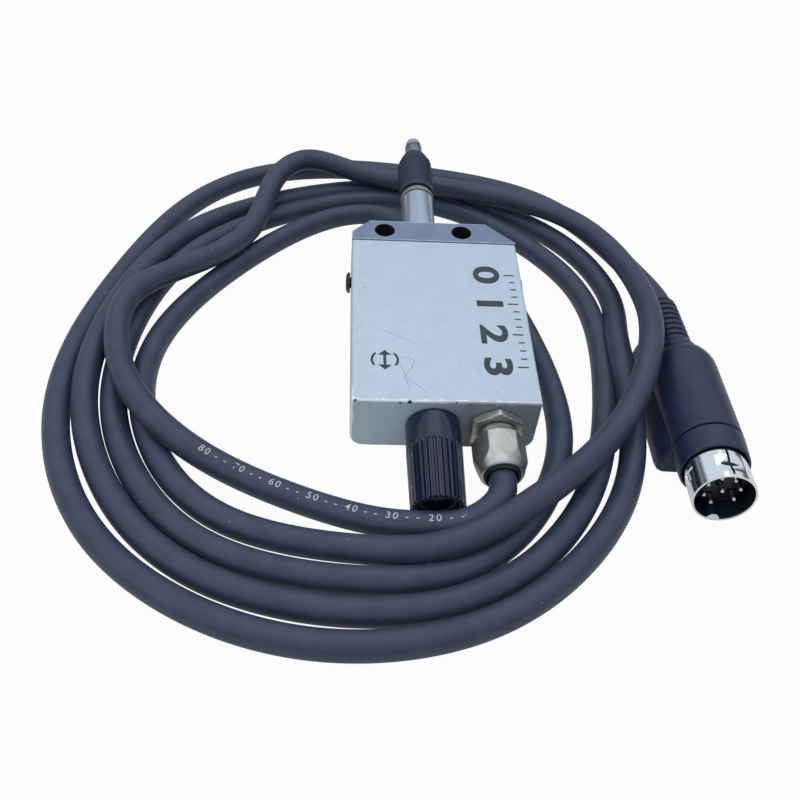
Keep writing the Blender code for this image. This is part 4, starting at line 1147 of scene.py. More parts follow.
def prism(name: str, outline: Outline, low: float, high: float, frame: Frame) -> bpy.types.Object:
    """A flat outline of (x, y) points made thick from z = low to z = high.

    Args:
        name: the piece's name.
        outline: its (x, y) points in order.
        low: its lower z.
        high: its upper z.
        frame: the frame they are given in.

    Returns:
        the piece.
    """
    flat = np.array(outline, float)
    levels = [np.column_stack([flat, np.full(len(flat), z)]) for z in (low, high)]
    return skin(name, np.array(levels), frame, caps=True)


def swung(piece: bpy.types.Object, frame: Frame, offset: Point, quarter: str) -> bpy.types.Object:
    """Carry a piece that was made along y at the origin to lie along x or z at a place of a frame.

    Args:
        piece: the piece.
        frame: the frame.
        offset: the place in it.
        quarter: x or z, where the piece's y goes.

    Returns:
        the same piece.
    """
    swings = {"x": Matrix.Rotation(-math.pi / 2, 3, "Z"), "z": Matrix.Rotation(math.pi / 2, 3, "X")}
    matrix = frame.matrix() @ np.array(swings[quarter])
    move_points(piece.data, mesh_points(piece.data) @ matrix.T + frame.world(np.array(offset, float)))
    return piece


def glyphs(name: str, text: str, height: float, spacing: float, bold: float) -> bpy.types.Mesh:
    """The flat mesh of some figures at the origin, made bolder by a share of their height.

    Args:
        name: the mesh's name.
        text: the figures.
        height: their height.
        spacing: the distance between them, 1 as the font has it.
        bold: the share of their height.

    Returns:
        the mesh.
    """
    curve = bpy.data.curves.new(name, "FONT")
    curve.body = text
    curve.size = height / FONT_HEIGHT
    curve.space_character = spacing
    curve.offset = height * bold
    curve.align_x = "CENTER"
    holder = linked(name, curve)
    bpy.context.view_layer.update()
    mesh = bpy.data.meshes.new_from_object(holder.evaluated_get(bpy.context.evaluated_depsgraph_get()))
    bpy.data.objects.remove(holder)
    return mesh


def mesh_points(mesh: bpy.types.Mesh) -> Array:
    """The points of a mesh as an array.

    Args:
        mesh: the mesh.

    Returns:
        (n, 3) points.
    """
    points = np.empty(len(mesh.vertices) * 3, np.float32)
    mesh.vertices.foreach_get("co", points)
    return points.reshape(-1, 3).astype(float)


def move_points(mesh: bpy.types.Mesh, points: Array) -> bpy.types.Mesh:
    """Set a mesh's points.

    Args:
        mesh: the mesh.
        points: (n, 3) points.

    Returns:
        the same mesh.
    """
    mesh.vertices.foreach_set("co", points.astype(np.float32).ravel())
    mesh.update()
    return mesh


def flat_mesh(name: str, points: Array, faces: Array | None = None) -> bpy.types.Mesh:
    """A mesh of four-cornered faces, of four points after another where no faces are given.

    Args:
        name: the mesh's name.
        points: (n, 3) points.
        faces: (m, 4) indices of the points.

    Returns:
        the mesh.
    """
    mesh = bpy.data.meshes.new(name)
    quads = np.arange(len(points)).reshape(-1, 4) if faces is None else faces
    mesh.from_pydata(points.tolist(), [], quads.tolist())
    return mesh


def joined(name: str, meshes: list[bpy.types.Mesh]) -> bpy.types.Object:
    """One object of several meshes.

    Args:
        name: the piece's name.
        meshes: the meshes.

    Returns:
        the piece.
    """
    bm = bmesh.new()
    for mesh in meshes:
        bm.from_mesh(mesh)
        bpy.data.meshes.remove(mesh)
    result = bpy.data.meshes.new(name)
    bm.to_mesh(result)
    bm.free()
    return linked(name, result)


@dataclass
class CaseAssembly:
    """The painted case, its side screws and what is printed on its face.

    A place on the face is its x and y in the probe's frame, and a half is half of a width.
    """

    frame: Frame = SEAT
    screw_place: tuple[float, float] = (0.041, 0.0085)
    screw_shank: tuple[float, float] = (0.0045, 0.0012)
    screw_slot: float = 0.00022
    scratch_lift: float = 0.00001
    scratch_half: float = 0.00005
    figure_height: float = 0.0055
    figure_stretch: float = 1.5
    figure_x: float = 0.0084
    figures_top: float = 0.0388
    figure_pitch: float = 0.0096
    ticks_per_figure: int = 4
    tick_long: float = 0.0150
    tick_short: float = 0.0160
    tick_end: float = 0.0173
    tick_half: float = 0.00019
    mark_place: tuple[float, float] = (-0.0122, 0.0112)
    mark_half: float = 0.0028
    mark_barb: float = 0.0014
    mark_line: float = 0.0003
    mark_arc: tuple[float, float] = (0.0029, 0.0024)

    def build(self) -> None:
        """Make the case and everything on it."""
        self.make_shell()
        self.make_side_screws()
        self.make_figures()
        self.make_direction_mark()
        self.make_scratches()

    def make_shell(self) -> None:
        """The case as one walled shell, open at its far mouth.

        Its section is carried along y, with an inset that draws it in at the rounded ends and inside.
        """
        inner = [(CASE_WALL, CASE_WALL), (CASE_LENGTH - 0.0002, CASE_WALL), (CASE_LENGTH, CASE_WALL - 0.0002)]
        rim = edge_rows(CASE_LENGTH, -1.0, 0.0003, 3)
        near = edge_rows(0.0, 1.0, CASE_EDGE)[::-1]
        shell = lofted("case_shell", inner + rim + near, self.frame, CASE_EDGE)
        dressed(shell, "probe", "case_silver", self.frame, "", "case")

    def make_side_screws(self) -> None:
        """The pan head screws at both sides, with a slot."""
        y, z = self.screw_place
        length, radius = self.screw_shank
        near, far, half = -0.0003, 0.0014, self.screw_slot
        for name, side in (("left", -1.0), ("right", 1.0)):
            outline = refined(softened(SIDE_SCREW_HEAD, 0.0003), 0.0004)
            outline = np.vstack([[[-length, 0.0], [-length, radius], [0.0, radius]], outline[1:]])
            outline[:, 0] *= side
            screw = revolve(f"side_screw_{name}_head", outline, FLOOR, 48)
            shape = [(near, -half), (far, -half), (far, half), (near, half)]
            slot = prism("slot", shape, -0.0015, 0.0015, FLOOR)
            screw = swung(screw, self.frame, (side * (CASE_HALF + GAP), y, z), "x")
            points = mesh_points(slot.data) * (side, 1.0, 1.0) + (side * (CASE_HALF + GAP + 0.0009), y, z)
            move_points(slot.data, self.frame.world(points))
            cut(screw, slot)
            cleaned_in_place(screw)
            dressed(screw, "probe", "black_steel", self.frame, "", f"side_screw_{name}")

    def above(self, points: Array, lift: float = PRINT_LIFT) -> Array:
        """Flat points of the face in the model's frame, lifted off the paint."""
        return self.frame.world(np.column_stack([points, np.full(len(points), CASE_HEIGHT + lift)]))

    def make_figures(self) -> None:
        """A plain scale of figures and ticks down the right side of the face, read from its left."""
        meshes = []
        for k, figure in enumerate("0123"):
            mesh = glyphs("figure", figure, self.figure_height, 1.0, 0.045)
            across, up = mesh_points(mesh)[:, 0] * self.figure_stretch, mesh_points(mesh)[:, 1]
            place = np.column_stack([up + self.figure_x, self.figures_top - self.figure_pitch * k - across])
            meshes.append(move_points(mesh, self.above(place)))
        ticks = []
        for k in range(3 * self.ticks_per_figure + 1):
            near = self.tick_short if k % self.ticks_per_figure else self.tick_long
            y = self.figures_top - self.figure_pitch / self.ticks_per_figure * k
            low, high = y - self.tick_half, y + self.tick_half
            ticks += [(near, low), (self.tick_end, low), (self.tick_end, high), (near, high)]
        strip = flat_mesh("ticks", self.above(np.array(ticks)))
        printed(joined("face_figures", [*meshes, strip]), "face_ink")

    def make_direction_mark(self) -> None:
        """A small two-way arrow along the measuring direction, between two arcs.

        Each arc is a row of four-cornered faces between its outer and its inner circle, 40 of which would
        close the circle.
        """
        half, barb, line = self.mark_half, self.mark_barb, self.mark_line
        shapes = [
            [(-line, -half + barb), (line, -half + barb), (line, half - barb), (-line, half - barb)],
            [(-barb, half - barb), (barb, half - barb), (0.0, half), (0.0, half)],
            [(-barb, barb - half), (barb, barb - half), (0.0, -half), (0.0, -half)],
        ]
        outer, inner = self.mark_arc
        angle = np.linspace(0.0, 2 * np.pi, 41)
        for a, b in zip([*angle[-5:-1], *angle[:5]], [*angle[-4:], *angle[1:6]]):
            arc = [(radius * math.cos(t), radius * math.sin(t))
                   for t, radius in ((a, outer), (b, outer), (b, inner), (a, inner))]
            shapes += [arc, [(-x, y) for x, y in arc]]
        quads = np.array(shapes).reshape(-1, 2)
        mesh = flat_mesh("mark", self.above(quads + self.mark_place))
        mesh.validate()
        printed(joined("direction_mark", [mesh]), "face_ink")

    def make_scratches(self) -> None:
        """Hair-fine scratches on the face, each a narrow ribbon through a few points.

        At each point of its spline a ribbon reaches half its width, times a sine from end to end, to
        both sides.
        """
        meshes = []
        for route in SCRATCHES:
            line = spline(np.array(route), 40)
            along = np.gradient(line, axis=0)
            along /= np.linalg.norm(along, axis=1)[:, None]
            aside = np.column_stack([-along[:, 1], along[:, 0]])
            width = self.scratch_half * np.sin(np.linspace(0.15, np.pi - 0.15, len(line)))[:, None]
            strip = np.stack([line - aside * width, line + aside * width], 1).reshape(-1, 2)
            first = np.arange(len(line) - 1) * 2
            faces = np.stack([first, first + 1, first + 3, first + 2], -1)
            meshes.append(flat_mesh("scratch", self.above(strip, self.scratch_lift), faces))
        printed(joined("face_scratches", meshes), "scratch_grey")


def cleaned_in_place(piece: bpy.types.Object) -> None:
    """Shade a cut piece smooth up to its sharp edges, its broad faces flat.

    Args:
        piece: the piece.
    """
    piece.data.shade_smooth()
    piece.data.set_sharp_from_angle(angle=CUT_SHARP_ANGLE)
    for polygon in piece.data.polygons:
        if polygon.area > BROAD_FACE:
            polygon.use_smooth = False


def spline(route: Array, count: int) -> Array:
    """Points of the smooth curve through a route.

    It is a natural cubic spline whose parameter grows by the square root of each chord: the bends at the
    route's points solve a set of linear equations, and each span is then a cubic of its two ends.

    Args:
        route: the points it passes.
        count: how many points it gives.

    Returns:
        (count, 3) points.
    """
    points = np.asarray(route, float)
    steps = np.sqrt(np.linalg.norm(np.diff(points, axis=0), axis=1))
    knots = np.concatenate([[0.0], np.cumsum(steps)])
    slopes = np.diff(points, axis=0) / steps[:, None]
    matrix = np.eye(len(points))
    right = np.zeros_like(points)
    inner = np.arange(1, len(points) - 1)
    matrix[inner, inner - 1] = steps[:-1]
    matrix[inner, inner] = 2 * (steps[:-1] + steps[1:])
    matrix[inner, inner + 1] = steps[1:]
    right[inner] = 6 * np.diff(slopes, axis=0)
    bends = np.linalg.solve(matrix, right)
    t = np.linspace(0.0, knots[-1], count)
    k = np.clip(np.searchsorted(knots, t, side="right") - 1, 0, len(steps) - 1)
    h = steps[k][:, None]
    a = (knots[k + 1] - t)[:, None]
    b = (t - knots[k])[:, None]
    curve = (bends[k] * a**3 + bends[k + 1] * b**3) / (6 * h)
    curve += (points[k] / h - bends[k] * h / 6) * a
    return curve + (points[k + 1] / h - bends[k + 1] * h / 6) * b


@dataclass
class FlangeAssembly:
    """The flange block with its bolt holes and spigot, and a chamfer at its left and right corner."""

    frame: Frame = SEAT
    chamfers: tuple[float, float] = (0.0042, 0.0064)
    spigot_start: float = 0.0385

    def build(self) -> None:
        """Make the block."""
        start = CASE_LENGTH + GAP
        end = start + FLANGE_THICKNESS
        block = lofted("flange_plate", [(start, 0.0), (end, 0.0)], self.frame, SMALLEST_ROUND)
        over = 0.003
        low, high, beyond = -over, CASE_HEIGHT + over, end + over
        tools = []
        for side, size in zip((-1, 1), self.chamfers):
            outside = side * (CASE_HALF + over)
            inside = side * (CASE_HALF - size - over)
            wedge = [(outside, end - size - over), (outside, beyond), (inside, beyond)]
            tools.append(prism("wedge", wedge, low, high, self.frame))
            hole = revolve("bolt_hole", rod(low, high, BOLT_HOLE_RADIUS), FLOOR, 56)
            place = (AXIS_X + side * BOLT_HOLE_SPACING / 2, (start + end) / 2, 0.0)
            tools.append(swung(hole, self.frame, place, "z"))
        bore = rod(start - over, beyond, STEM_RADIUS + GAP)
        tools.append(revolve("stem_bore", bore, MEASURING, 64))
        cut(block, *tools)
        bevelled(block, 0.00022)
        inset = CASE_WALL + GAP
        rows = [(self.spigot_start, inset), (start + 0.001, inset)]
        spigot = lofted("spigot", rows, self.frame, SMALLEST_ROUND)
        merged = joined("flange_block_dressed", [block.data.copy(), spigot.data.copy()])
        for old in (block, spigot):
            bpy.data.objects.remove(old)
        cleaned_in_place(merged)
        dressed(merged, "probe", "flange_alloy", self.frame, "", "flange_block")


@dataclass
class ContactEnd:
    """Stem, clamp ring, bellows, collar and contact point, all turned about the measuring axis.

    Starts, ends and tips are places along that axis, from the case's near end.
    """

    frame: Frame = MEASURING
    stem_start: float = 0.0481
    stem_end: float = 0.0747
    neck_radius: float = 0.0034
    neck_end: float = 0.0790
    stem_bore: float = 0.0027
    clamp_width: float = 0.0018
    bellows_radius: float = 0.0044
    bellows_start: float = 0.0771
    folds_start: float = 0.0789
    fold_pitch: float = 0.00115
    fold_count: int = 10
    fold_depth: float = 0.00026
    collar_start: float = 0.0952
    collar_end: float = 0.0992
    collar_radius: float = 0.00225
    contact_radius: float = 0.0020
    contact_tip: float = 0.1024
    dome_height: float = 0.0018
    spring_ends: tuple[float, float] = (0.0068, 0.0204)
    spring_radius: float = 0.0024
    spring_wire: float = 0.0003
    spring_turns: int = 7

    def build(self) -> None:
        """Make each turned piece."""
        self.make_stem()
        self.make_bellows()
        self.make_contact()
        self.make_return_spring()

    def make_stem(self) -> None:
        """The ground stem, and the olive ring that clamps the bellows."""
        start, shoulder, end = self.stem_start, self.stem_end, self.neck_end
        outline = [
            (start, self.stem_bore), (start, STEM_RADIUS), (shoulder, STEM_RADIUS),
            (shoulder, self.neck_radius), (end, self.neck_radius), (end, self.stem_bore),
        ]
        stem = ring("stem_ground", outline, 0.0002, self.frame)
        dressed(stem, "probe", "ground_steel", self.frame, "axis", "stem")
        start = shoulder + GAP
        end = start + self.clamp_width
        inner = self.neck_radius + 0.0002
        outer = STEM_RADIUS + 0.0002
        outline = [
            (start, inner), (start, outer - 0.0001), (start + 0.0005, outer), (end - 0.0006, outer),
            (end - 0.0004, outer - 0.0003), (end, outer - 0.0003), (end, inner),
        ]
        clamp = ring("bellows_ring", outline, 0.0001, self.frame)
        dressed(clamp, "probe", "olive_zinc", self.frame, "axis", "bellows_clamp")

    def make_bellows(self) -> None:
        """The rubber bellows: a skirt, fine folds, a shoulder and a lip that grips the spindle."""
        skirt, full = self.bellows_start, self.bellows_radius
        folds_end = self.folds_start + self.fold_count * self.fold_pitch
        neck = folds_end + 0.003
        tip = self.collar_start - GAP
        outer = softened(
            [
                (skirt, full), (self.folds_start, full), (folds_end, full), (folds_end + 0.0012, 0.0037),
                (neck - 0.0004, 0.0036), (tip - 0.0008, 0.0025), (tip, 0.0024),
            ],
            0.0006, 5,
        )
        inner = [(tip, 0.0018), (neck, 0.0028), (folds_end, 0.0036), (skirt, 0.0036)]
        outline = np.vstack([refined(outer, 0.00009), inner])

        def folds(y: Array, radius: Array, angle: Array) -> Array:
            """The radius less the fold's depth times a raised cosine of y, and a little slack.

            Args:
                y: the place along the axis.
                radius: the profile's radius there.
                angle: the place round the axis.

            Returns:
                the radius at each point.
            """
            inside = (y > self.folds_start) & (y < folds_end) & (radius > 0.004)
            wave = 0.5 - 0.5 * np.cos(2 * np.pi * (y - self.folds_start) / self.fold_pitch)
            slack = 0.00003 * np.sin(3 * angle + y * 900) + 0.00002 * np.sin(7 * angle - y * 1700)
            return radius - inside * self.fold_depth * wave**1.6 + inside * slack

        bellows = revolve("bellows_rubber_folds", outline, self.frame, 84, True, folds)
        bending(bellows, "bellows_rubber", self.frame, (skirt + 0.001, tip - 0.001), "bellows")

    def make_contact(self) -> None:
        """The collar with its dark band, and the domed point with its stud."""
        start, end, full = self.collar_start, self.collar_end, self.collar_radius
        band, groove = end - 0.0009, full - 0.00025
        outline = [
            (start, 0.0018), (start, full), (band, full), (band, groove), (band + 0.0004, groove),
            (band + 0.0004, full), (end, full), (end, 0.0012), (end - 0.002, 0.0012), (end - 0.002, 0.0018),
        ]
        collar = ring("collar_turned", outline, 0.00015, self.frame, 72)
        dressed(collar, "plunger", "collar_grey", self.frame, "axis", "spindle_collar")
        face, full = end + GAP, self.contact_radius
        stud_end, stud_radius = face - 0.0022, 0.0009
        dome = [
            (stud_end, 0.0), (stud_end, stud_radius), (face, stud_radius), (face, full - 0.0001),
            (face + 0.0002, full),
        ]
        for k in range(13):
            angle = math.pi / 2 * k / 12
            dome.append((self.contact_tip - self.dome_height * (1 - math.sin(angle)), full * math.cos(angle)))
        point = revolve("contact_dome", dome, self.frame, 72)
        dressed(point, "plunger", "contact_pale", self.frame, "axis", "contact_point")

    def make_return_spring(self) -> None:
        """The coil in the case that pushes the spindle out: a round wire along a helix.

        The helix's angle and its y grow evenly. Round it the wire adds its radius times the cosine
        outward and times the sine along y.
        """
        start, end = self.spring_ends
        share = np.linspace(0.0, 1.0, self.spring_turns * 28 + 1)[:, None]
        angle = 2 * np.pi * self.spring_turns * share
        round_wire = np.linspace(0.0, 2 * np.pi, 10, endpoint=False)[None, :]
        radius = self.spring_radius + self.spring_wire * np.cos(round_wire)
        y = start + (end - start) * share + self.spring_wire * np.sin(round_wire)
        grid = np.stack([radius * np.cos(angle), y, radius * np.sin(angle)], -1)
        spring = skin("return_spring_coil", grid, self.frame, caps=True)
        bending(spring, "spring_steel", self.frame, self.spring_ends, "return_spring")


@dataclass
class RearCap:
    """The ribbed plastic cap that screws onto the rear nipple.

    Its lengths and depths are measured from the case's near end, toward the camera.
    """

    frame: Frame = MEASURING
    radius: float = 0.0056
    end_radius: float = 0.0053
    length: float = 0.0213
    smooth: float = 0.0073
    rib_count: int = 30
    rib_depth: float = 0.00042
    recess_radius: float = 0.0041
    recess_depth: float = 0.003
    bore: float = 0.0031
    bore_depth: float = 0.0105
    seal_radius: float = 0.0049

    def build(self) -> None:
        """Make the cap with its ribs, run-outs, recess and bore."""
        seat = -0.0014
        floor = -self.length + self.recess_depth
        outline = [
            (-self.bore_depth, 0.0), (-self.bore_depth, self.bore), (seat, self.bore),
            (seat, self.seal_radius), (-GAP, self.seal_radius), (-GAP, self.radius),
            (-self.smooth, self.radius), (-self.length, self.end_radius), (-self.length, self.recess_radius),
            (floor, self.recess_radius - 0.0002), (floor, 0.0),
        ]
        outline = refined(softened(outline, 0.0004, 4), 0.00045)
        start = self.smooth - 0.0001

        def ribs(y: Array, radius: Array, angle: Array) -> Array:
            """The radius less a clipped cosine of the angle times the rib's depth, run out at the start.

            Args:
                y: the place along the axis.
                radius: the profile's radius there.
                angle: the place round the axis.

            Returns:
                the radius at each point.
            """
            outside = (-y > start) & (radius > self.recess_radius + 0.0004)
            wave = np.cos(self.rib_count * angle + np.pi / 2 * (self.rib_count % 4))
            groove = np.clip(0.5 - wave * 1.3, 0.0, 1.0)
            ramp = np.clip((-y - start) / 0.0006, 0.0, 1.0)
            return radius - outside * ramp * groove * self.rib_depth

        cap = revolve("rear_cap_ribbed", outline, self.frame, self.rib_count * 12, relief=ribs)
        dressed(cap, "cap", "cap_plastic", self.frame, "axis", "rear_cap")


def hexagonal(flats: float, limit: Array, bore: float, vertex_up: bool) -> Relief:
    """A relief that makes a turned bar hexagonal.

    Args:
        flats: width across the flats.
        limit: (y, radius) points of the turned shape that cuts the hexagon's corners.
        bore: radius up to which the outline is left round.
        vertex_up: whether a corner points up, or a flat.

    Returns:
        A relief for revolve.
    """
    phase = math.pi / 6 if vertex_up else 0.0

    def relief(y: Array, radius: Array, angle: Array) -> Array:
        """The least of the flat over the cosine of the angle from its middle, the corner and the turning.

        Args:
            y: the place along the axis.
            radius: the profile's radius there.
            angle: the place round the axis.

        Returns:
            the radius at each point.
        """
        sector = np.mod(angle - math.pi / 2 + phase + np.pi / 6, np.pi / 3) - np.pi / 6
        flat = flats / 2 / np.cos(sector)
        corner = flats / 2 / math.cos(math.pi / 6) * 0.985
        turned = np.interp(y, limit[:, 0], limit[:, 1])
        outer = np.minimum(np.minimum(flat, corner), turned)
        return np.where(radius > bore + 0.0002, outer, radius)

    return relief


@dataclass
class CordGland:
    """Lock nut, threaded body, hexagon cap and rubber seal of the cord gland.

    A pair holds the two ends of a piece along the gland's axis, and flats is a width across flats.
    """

    frame: Frame = GLAND
    nut_flats: float = 0.0102
    nut: tuple[float, float] = (-0.0021, -0.0003)
    nut_bore: float = 0.0035
    bore: float = 0.0019
    shank_radius: float = 0.0032
    thread: tuple[float, float] = (-0.0049, -0.0026)
    thread_pitch: float = 0.0006
    thread_depth: float = 0.00022
    neck_radius: float = 0.0040
    cap_flats: float = 0.0096
    cap_start: float = -0.0046
    cap_end: float = -0.0127
    cap_bore: float = 0.0037
    seal: tuple[float, float] = (-0.0083, -0.0133)
    seal_radius: float = 0.0036

    def build(self) -> None:
        """Make the gland's pieces."""
        self.make_nut()
        self.make_body()
        self.make_cap()

    def make_nut(self) -> None:
        """The lock nut against the case, its corners turned off on both sides."""
        start, end = self.nut
        face = self.nut_flats / 2
        corner = face + 0.0011
        limit = np.array([(start, face), (start + 0.0003, corner), (end - 0.0003, corner), (end, face)])
        relief = hexagonal(self.nut_flats, limit, self.nut_bore, True)
        outline = self.bar(start, end, face, self.nut_bore, 0.00009)
        nut = revolve("gland_nut_plated", outline, self.frame, 180, True, relief)
        dressed(nut, "probe", "nickel_plate", self.frame, "gland", "gland_nut")

    def bar(self, start: float, end: float, outer: float, bore: float, step: float) -> Array:
        """The outline of a bored bar with enough points along its outside for a relief."""
        outside = refined(np.array([(start, outer), (end, outer)]), step)
        return np.vstack([[(start, bore)], outside, [(end, bore)]])

    def make_body(self) -> None:
        """The gland's body, with its threads into the case and into the cap."""
        inside, step, neck, mouth = 0.0045, self.nut[0] - GAP, -0.0050, -0.0080
        outline = [
            (inside, self.bore), (inside, self.shank_radius), (step, self.shank_radius),
            (step, self.neck_radius), (neck, self.neck_radius), (neck, self.seal_radius),
            (mouth, self.seal_radius), (mouth, self.bore),
        ]
        outline = refined(softened(outline, 0.00015, 3, True), 0.00012, True)
        first, last = self.thread

        def thread(y: Array, radius: Array, angle: Array) -> Array:
            """The radius less a triangle wave of y over the pitch plus the share of the turn.

            Args:
                y: the place along the axis.
                radius: the profile's radius there.
                angle: the place round the axis.

            Returns:
                the radius at each point.
            """
            wave = np.abs(np.mod(y / self.thread_pitch + angle / (2 * np.pi), 1.0) - 0.5) * 2
            on_neck = (radius > self.neck_radius - 0.0001) & (y < last) & (y > first)
            return radius - on_neck * self.thread_depth * wave

        body = revolve("gland_body_threaded", outline, self.frame, 96, True, thread)
        dressed(body, "probe", "olive_zinc", self.frame, "gland", "gland_body")

    def make_cap(self) -> None:
        """The clamping cap with its domed shoulder, and the seal that grips the cord."""
        relief = hexagonal(self.cap_flats, np.array(GLAND_CAP_TURNED), self.cap_bore, False)
        outline = self.bar(self.cap_end, self.cap_start, self.cap_flats / 2, self.cap_bore, 0.00011)
        cap = revolve("gland_cap_plated", outline, self.frame, 180, True, relief)
        dressed(cap, "probe", "nickel_plate", self.frame, "gland", "gland_cap")
        start, end = self.seal
        outer, bore = self.seal_radius, CORD_PASSAGE
        section = [(start, bore), (start, outer), (end, outer), (end, bore)]
        seal = revolve("gland_seal_rubber", softened(section, 0.00045, 5, True), self.frame, 72, True)
        dressed(seal, "probe", "seal_rubber", self.frame, "gland", "gland_seal")


@dataclass
class SignalCord:
    """The free cord: one tube along its route, with its printing.

    clear is how far the tube stays off the floor and the printing off the tube. line and length are what
    the route comes to: evenly spaced points and the way along them.
    """

    sides: int = 22
    steps_per_metre: int = 620
    clear: float = 0.00003
    text_height: float = 0.00145
    text_start: float = 0.0062
    text_pitch: float = 0.0079
    text_lean: float = 0.42
    line: Array = field(default_factory=lambda: np.zeros((0, 3)))
    length: float = 0.0

    def build(self, plug_nodes: list[str], pieces: list[bpy.types.Object]) -> None:
        """Args:
            plug_nodes: the CAD nodes that stay on the plug; not used.
            pieces: the scene's pieces of the plug; not used.
        """
        rough = spline(np.array(CORD_ROUTE), 4000)
        chords = np.linalg.norm(np.diff(rough, axis=0), axis=1)
        travelled = np.concatenate([[0.0], np.cumsum(chords)])
        self.length = float(travelled[-1])
        count = int(self.length * self.steps_per_metre)
        even = np.linspace(0.0, self.length, count)
        self.line = np.column_stack([np.interp(even, travelled, rough[:, k]) for k in range(3)])
        self.line[:, 2] = np.maximum(self.line[:, 2], CORD_RADIUS + self.clear)
        tube = self.make_tube()
        printing = self.make_printing()
        log.info("cord of %.3f m", self.length)

    def sections(self) -> tuple[Array, Array]:
        """Two directions across the cord at each of its points, the second as upright as it can be.

        Returns:
            (n, 3) directions to the side, and (n, 3) upward.
        """
        along = np.gradient(self.line, axis=0)
        along /= np.linalg.norm(along, axis=1)[:, None]
        aside = np.cross(along, (0.0, 0.0, 1.0))
        aside /= np.linalg.norm(aside, axis=1)[:, None]
        return aside, np.cross(aside, along)

    def make_tube(self) -> bpy.types.Object:
        """The jacket as a tube with closed ends: at each point of the line a circle across it.

        Returns:
            the tube.
        """
        aside, upright = self.sections()
        angle = np.linspace(0.0, 2 * np.pi, self.sides, endpoint=False)
        cosine, sine = np.cos(angle)[None, :, None], np.sin(angle)[None, :, None]
        circle = cosine * aside[:, None] + sine * upright[:, None]
        grid = self.line[:, None] + CORD_RADIUS * circle
        tube = skin("cord_jacket_tube", grid, FLOOR, caps=True)
        return dressed(tube, "probe", "cord_jacket", FLOOR, "", "cord")

    def on_cord(self, flat: Array, start: float, lean: float) -> Array:
        """Wrap flat points round the cord.

        Args:
            flat: points whose x runs along the cord and whose y runs round it.
            start: how far from the gland x = 0 lies.
            lean: how far round from the top y = 0 lies, in radians.

        Returns:
            The points just above the jacket.
        """
        travelled = np.linspace(0.0, self.length, len(self.line))
        aside, upright = self.sections()
        at = start - flat[:, 0]
        pick = [np.column_stack([np.interp(at, travelled, table[:, k]) for k in range(3)])
                for table in (self.line, aside, upright)]
        angle = (math.pi / 2 + lean - flat[:, 1] / CORD_RADIUS)[:, None]
        across = np.cos(angle) * pick[1] + np.sin(angle) * pick[2]
        return pick[0] + (CORD_RADIUS + self.clear) * across

    def make_printing(self) -> bpy.types.Object:
        """Plain figures and dashes along the cord's first stretch.

        Returns:
            the printing.
        """
        meshes = []
        for k in range(2, 9):
            mesh = glyphs("cord_text", f"{k}0 - -", self.text_height, 1.35, 0.01)
            start = self.text_start + self.text_pitch * k
            meshes.append(move_points(mesh, self.on_cord(mesh_points(mesh), start, self.text_lean)))
        return printed(joined("cord_printing", meshes), "cord_ink")


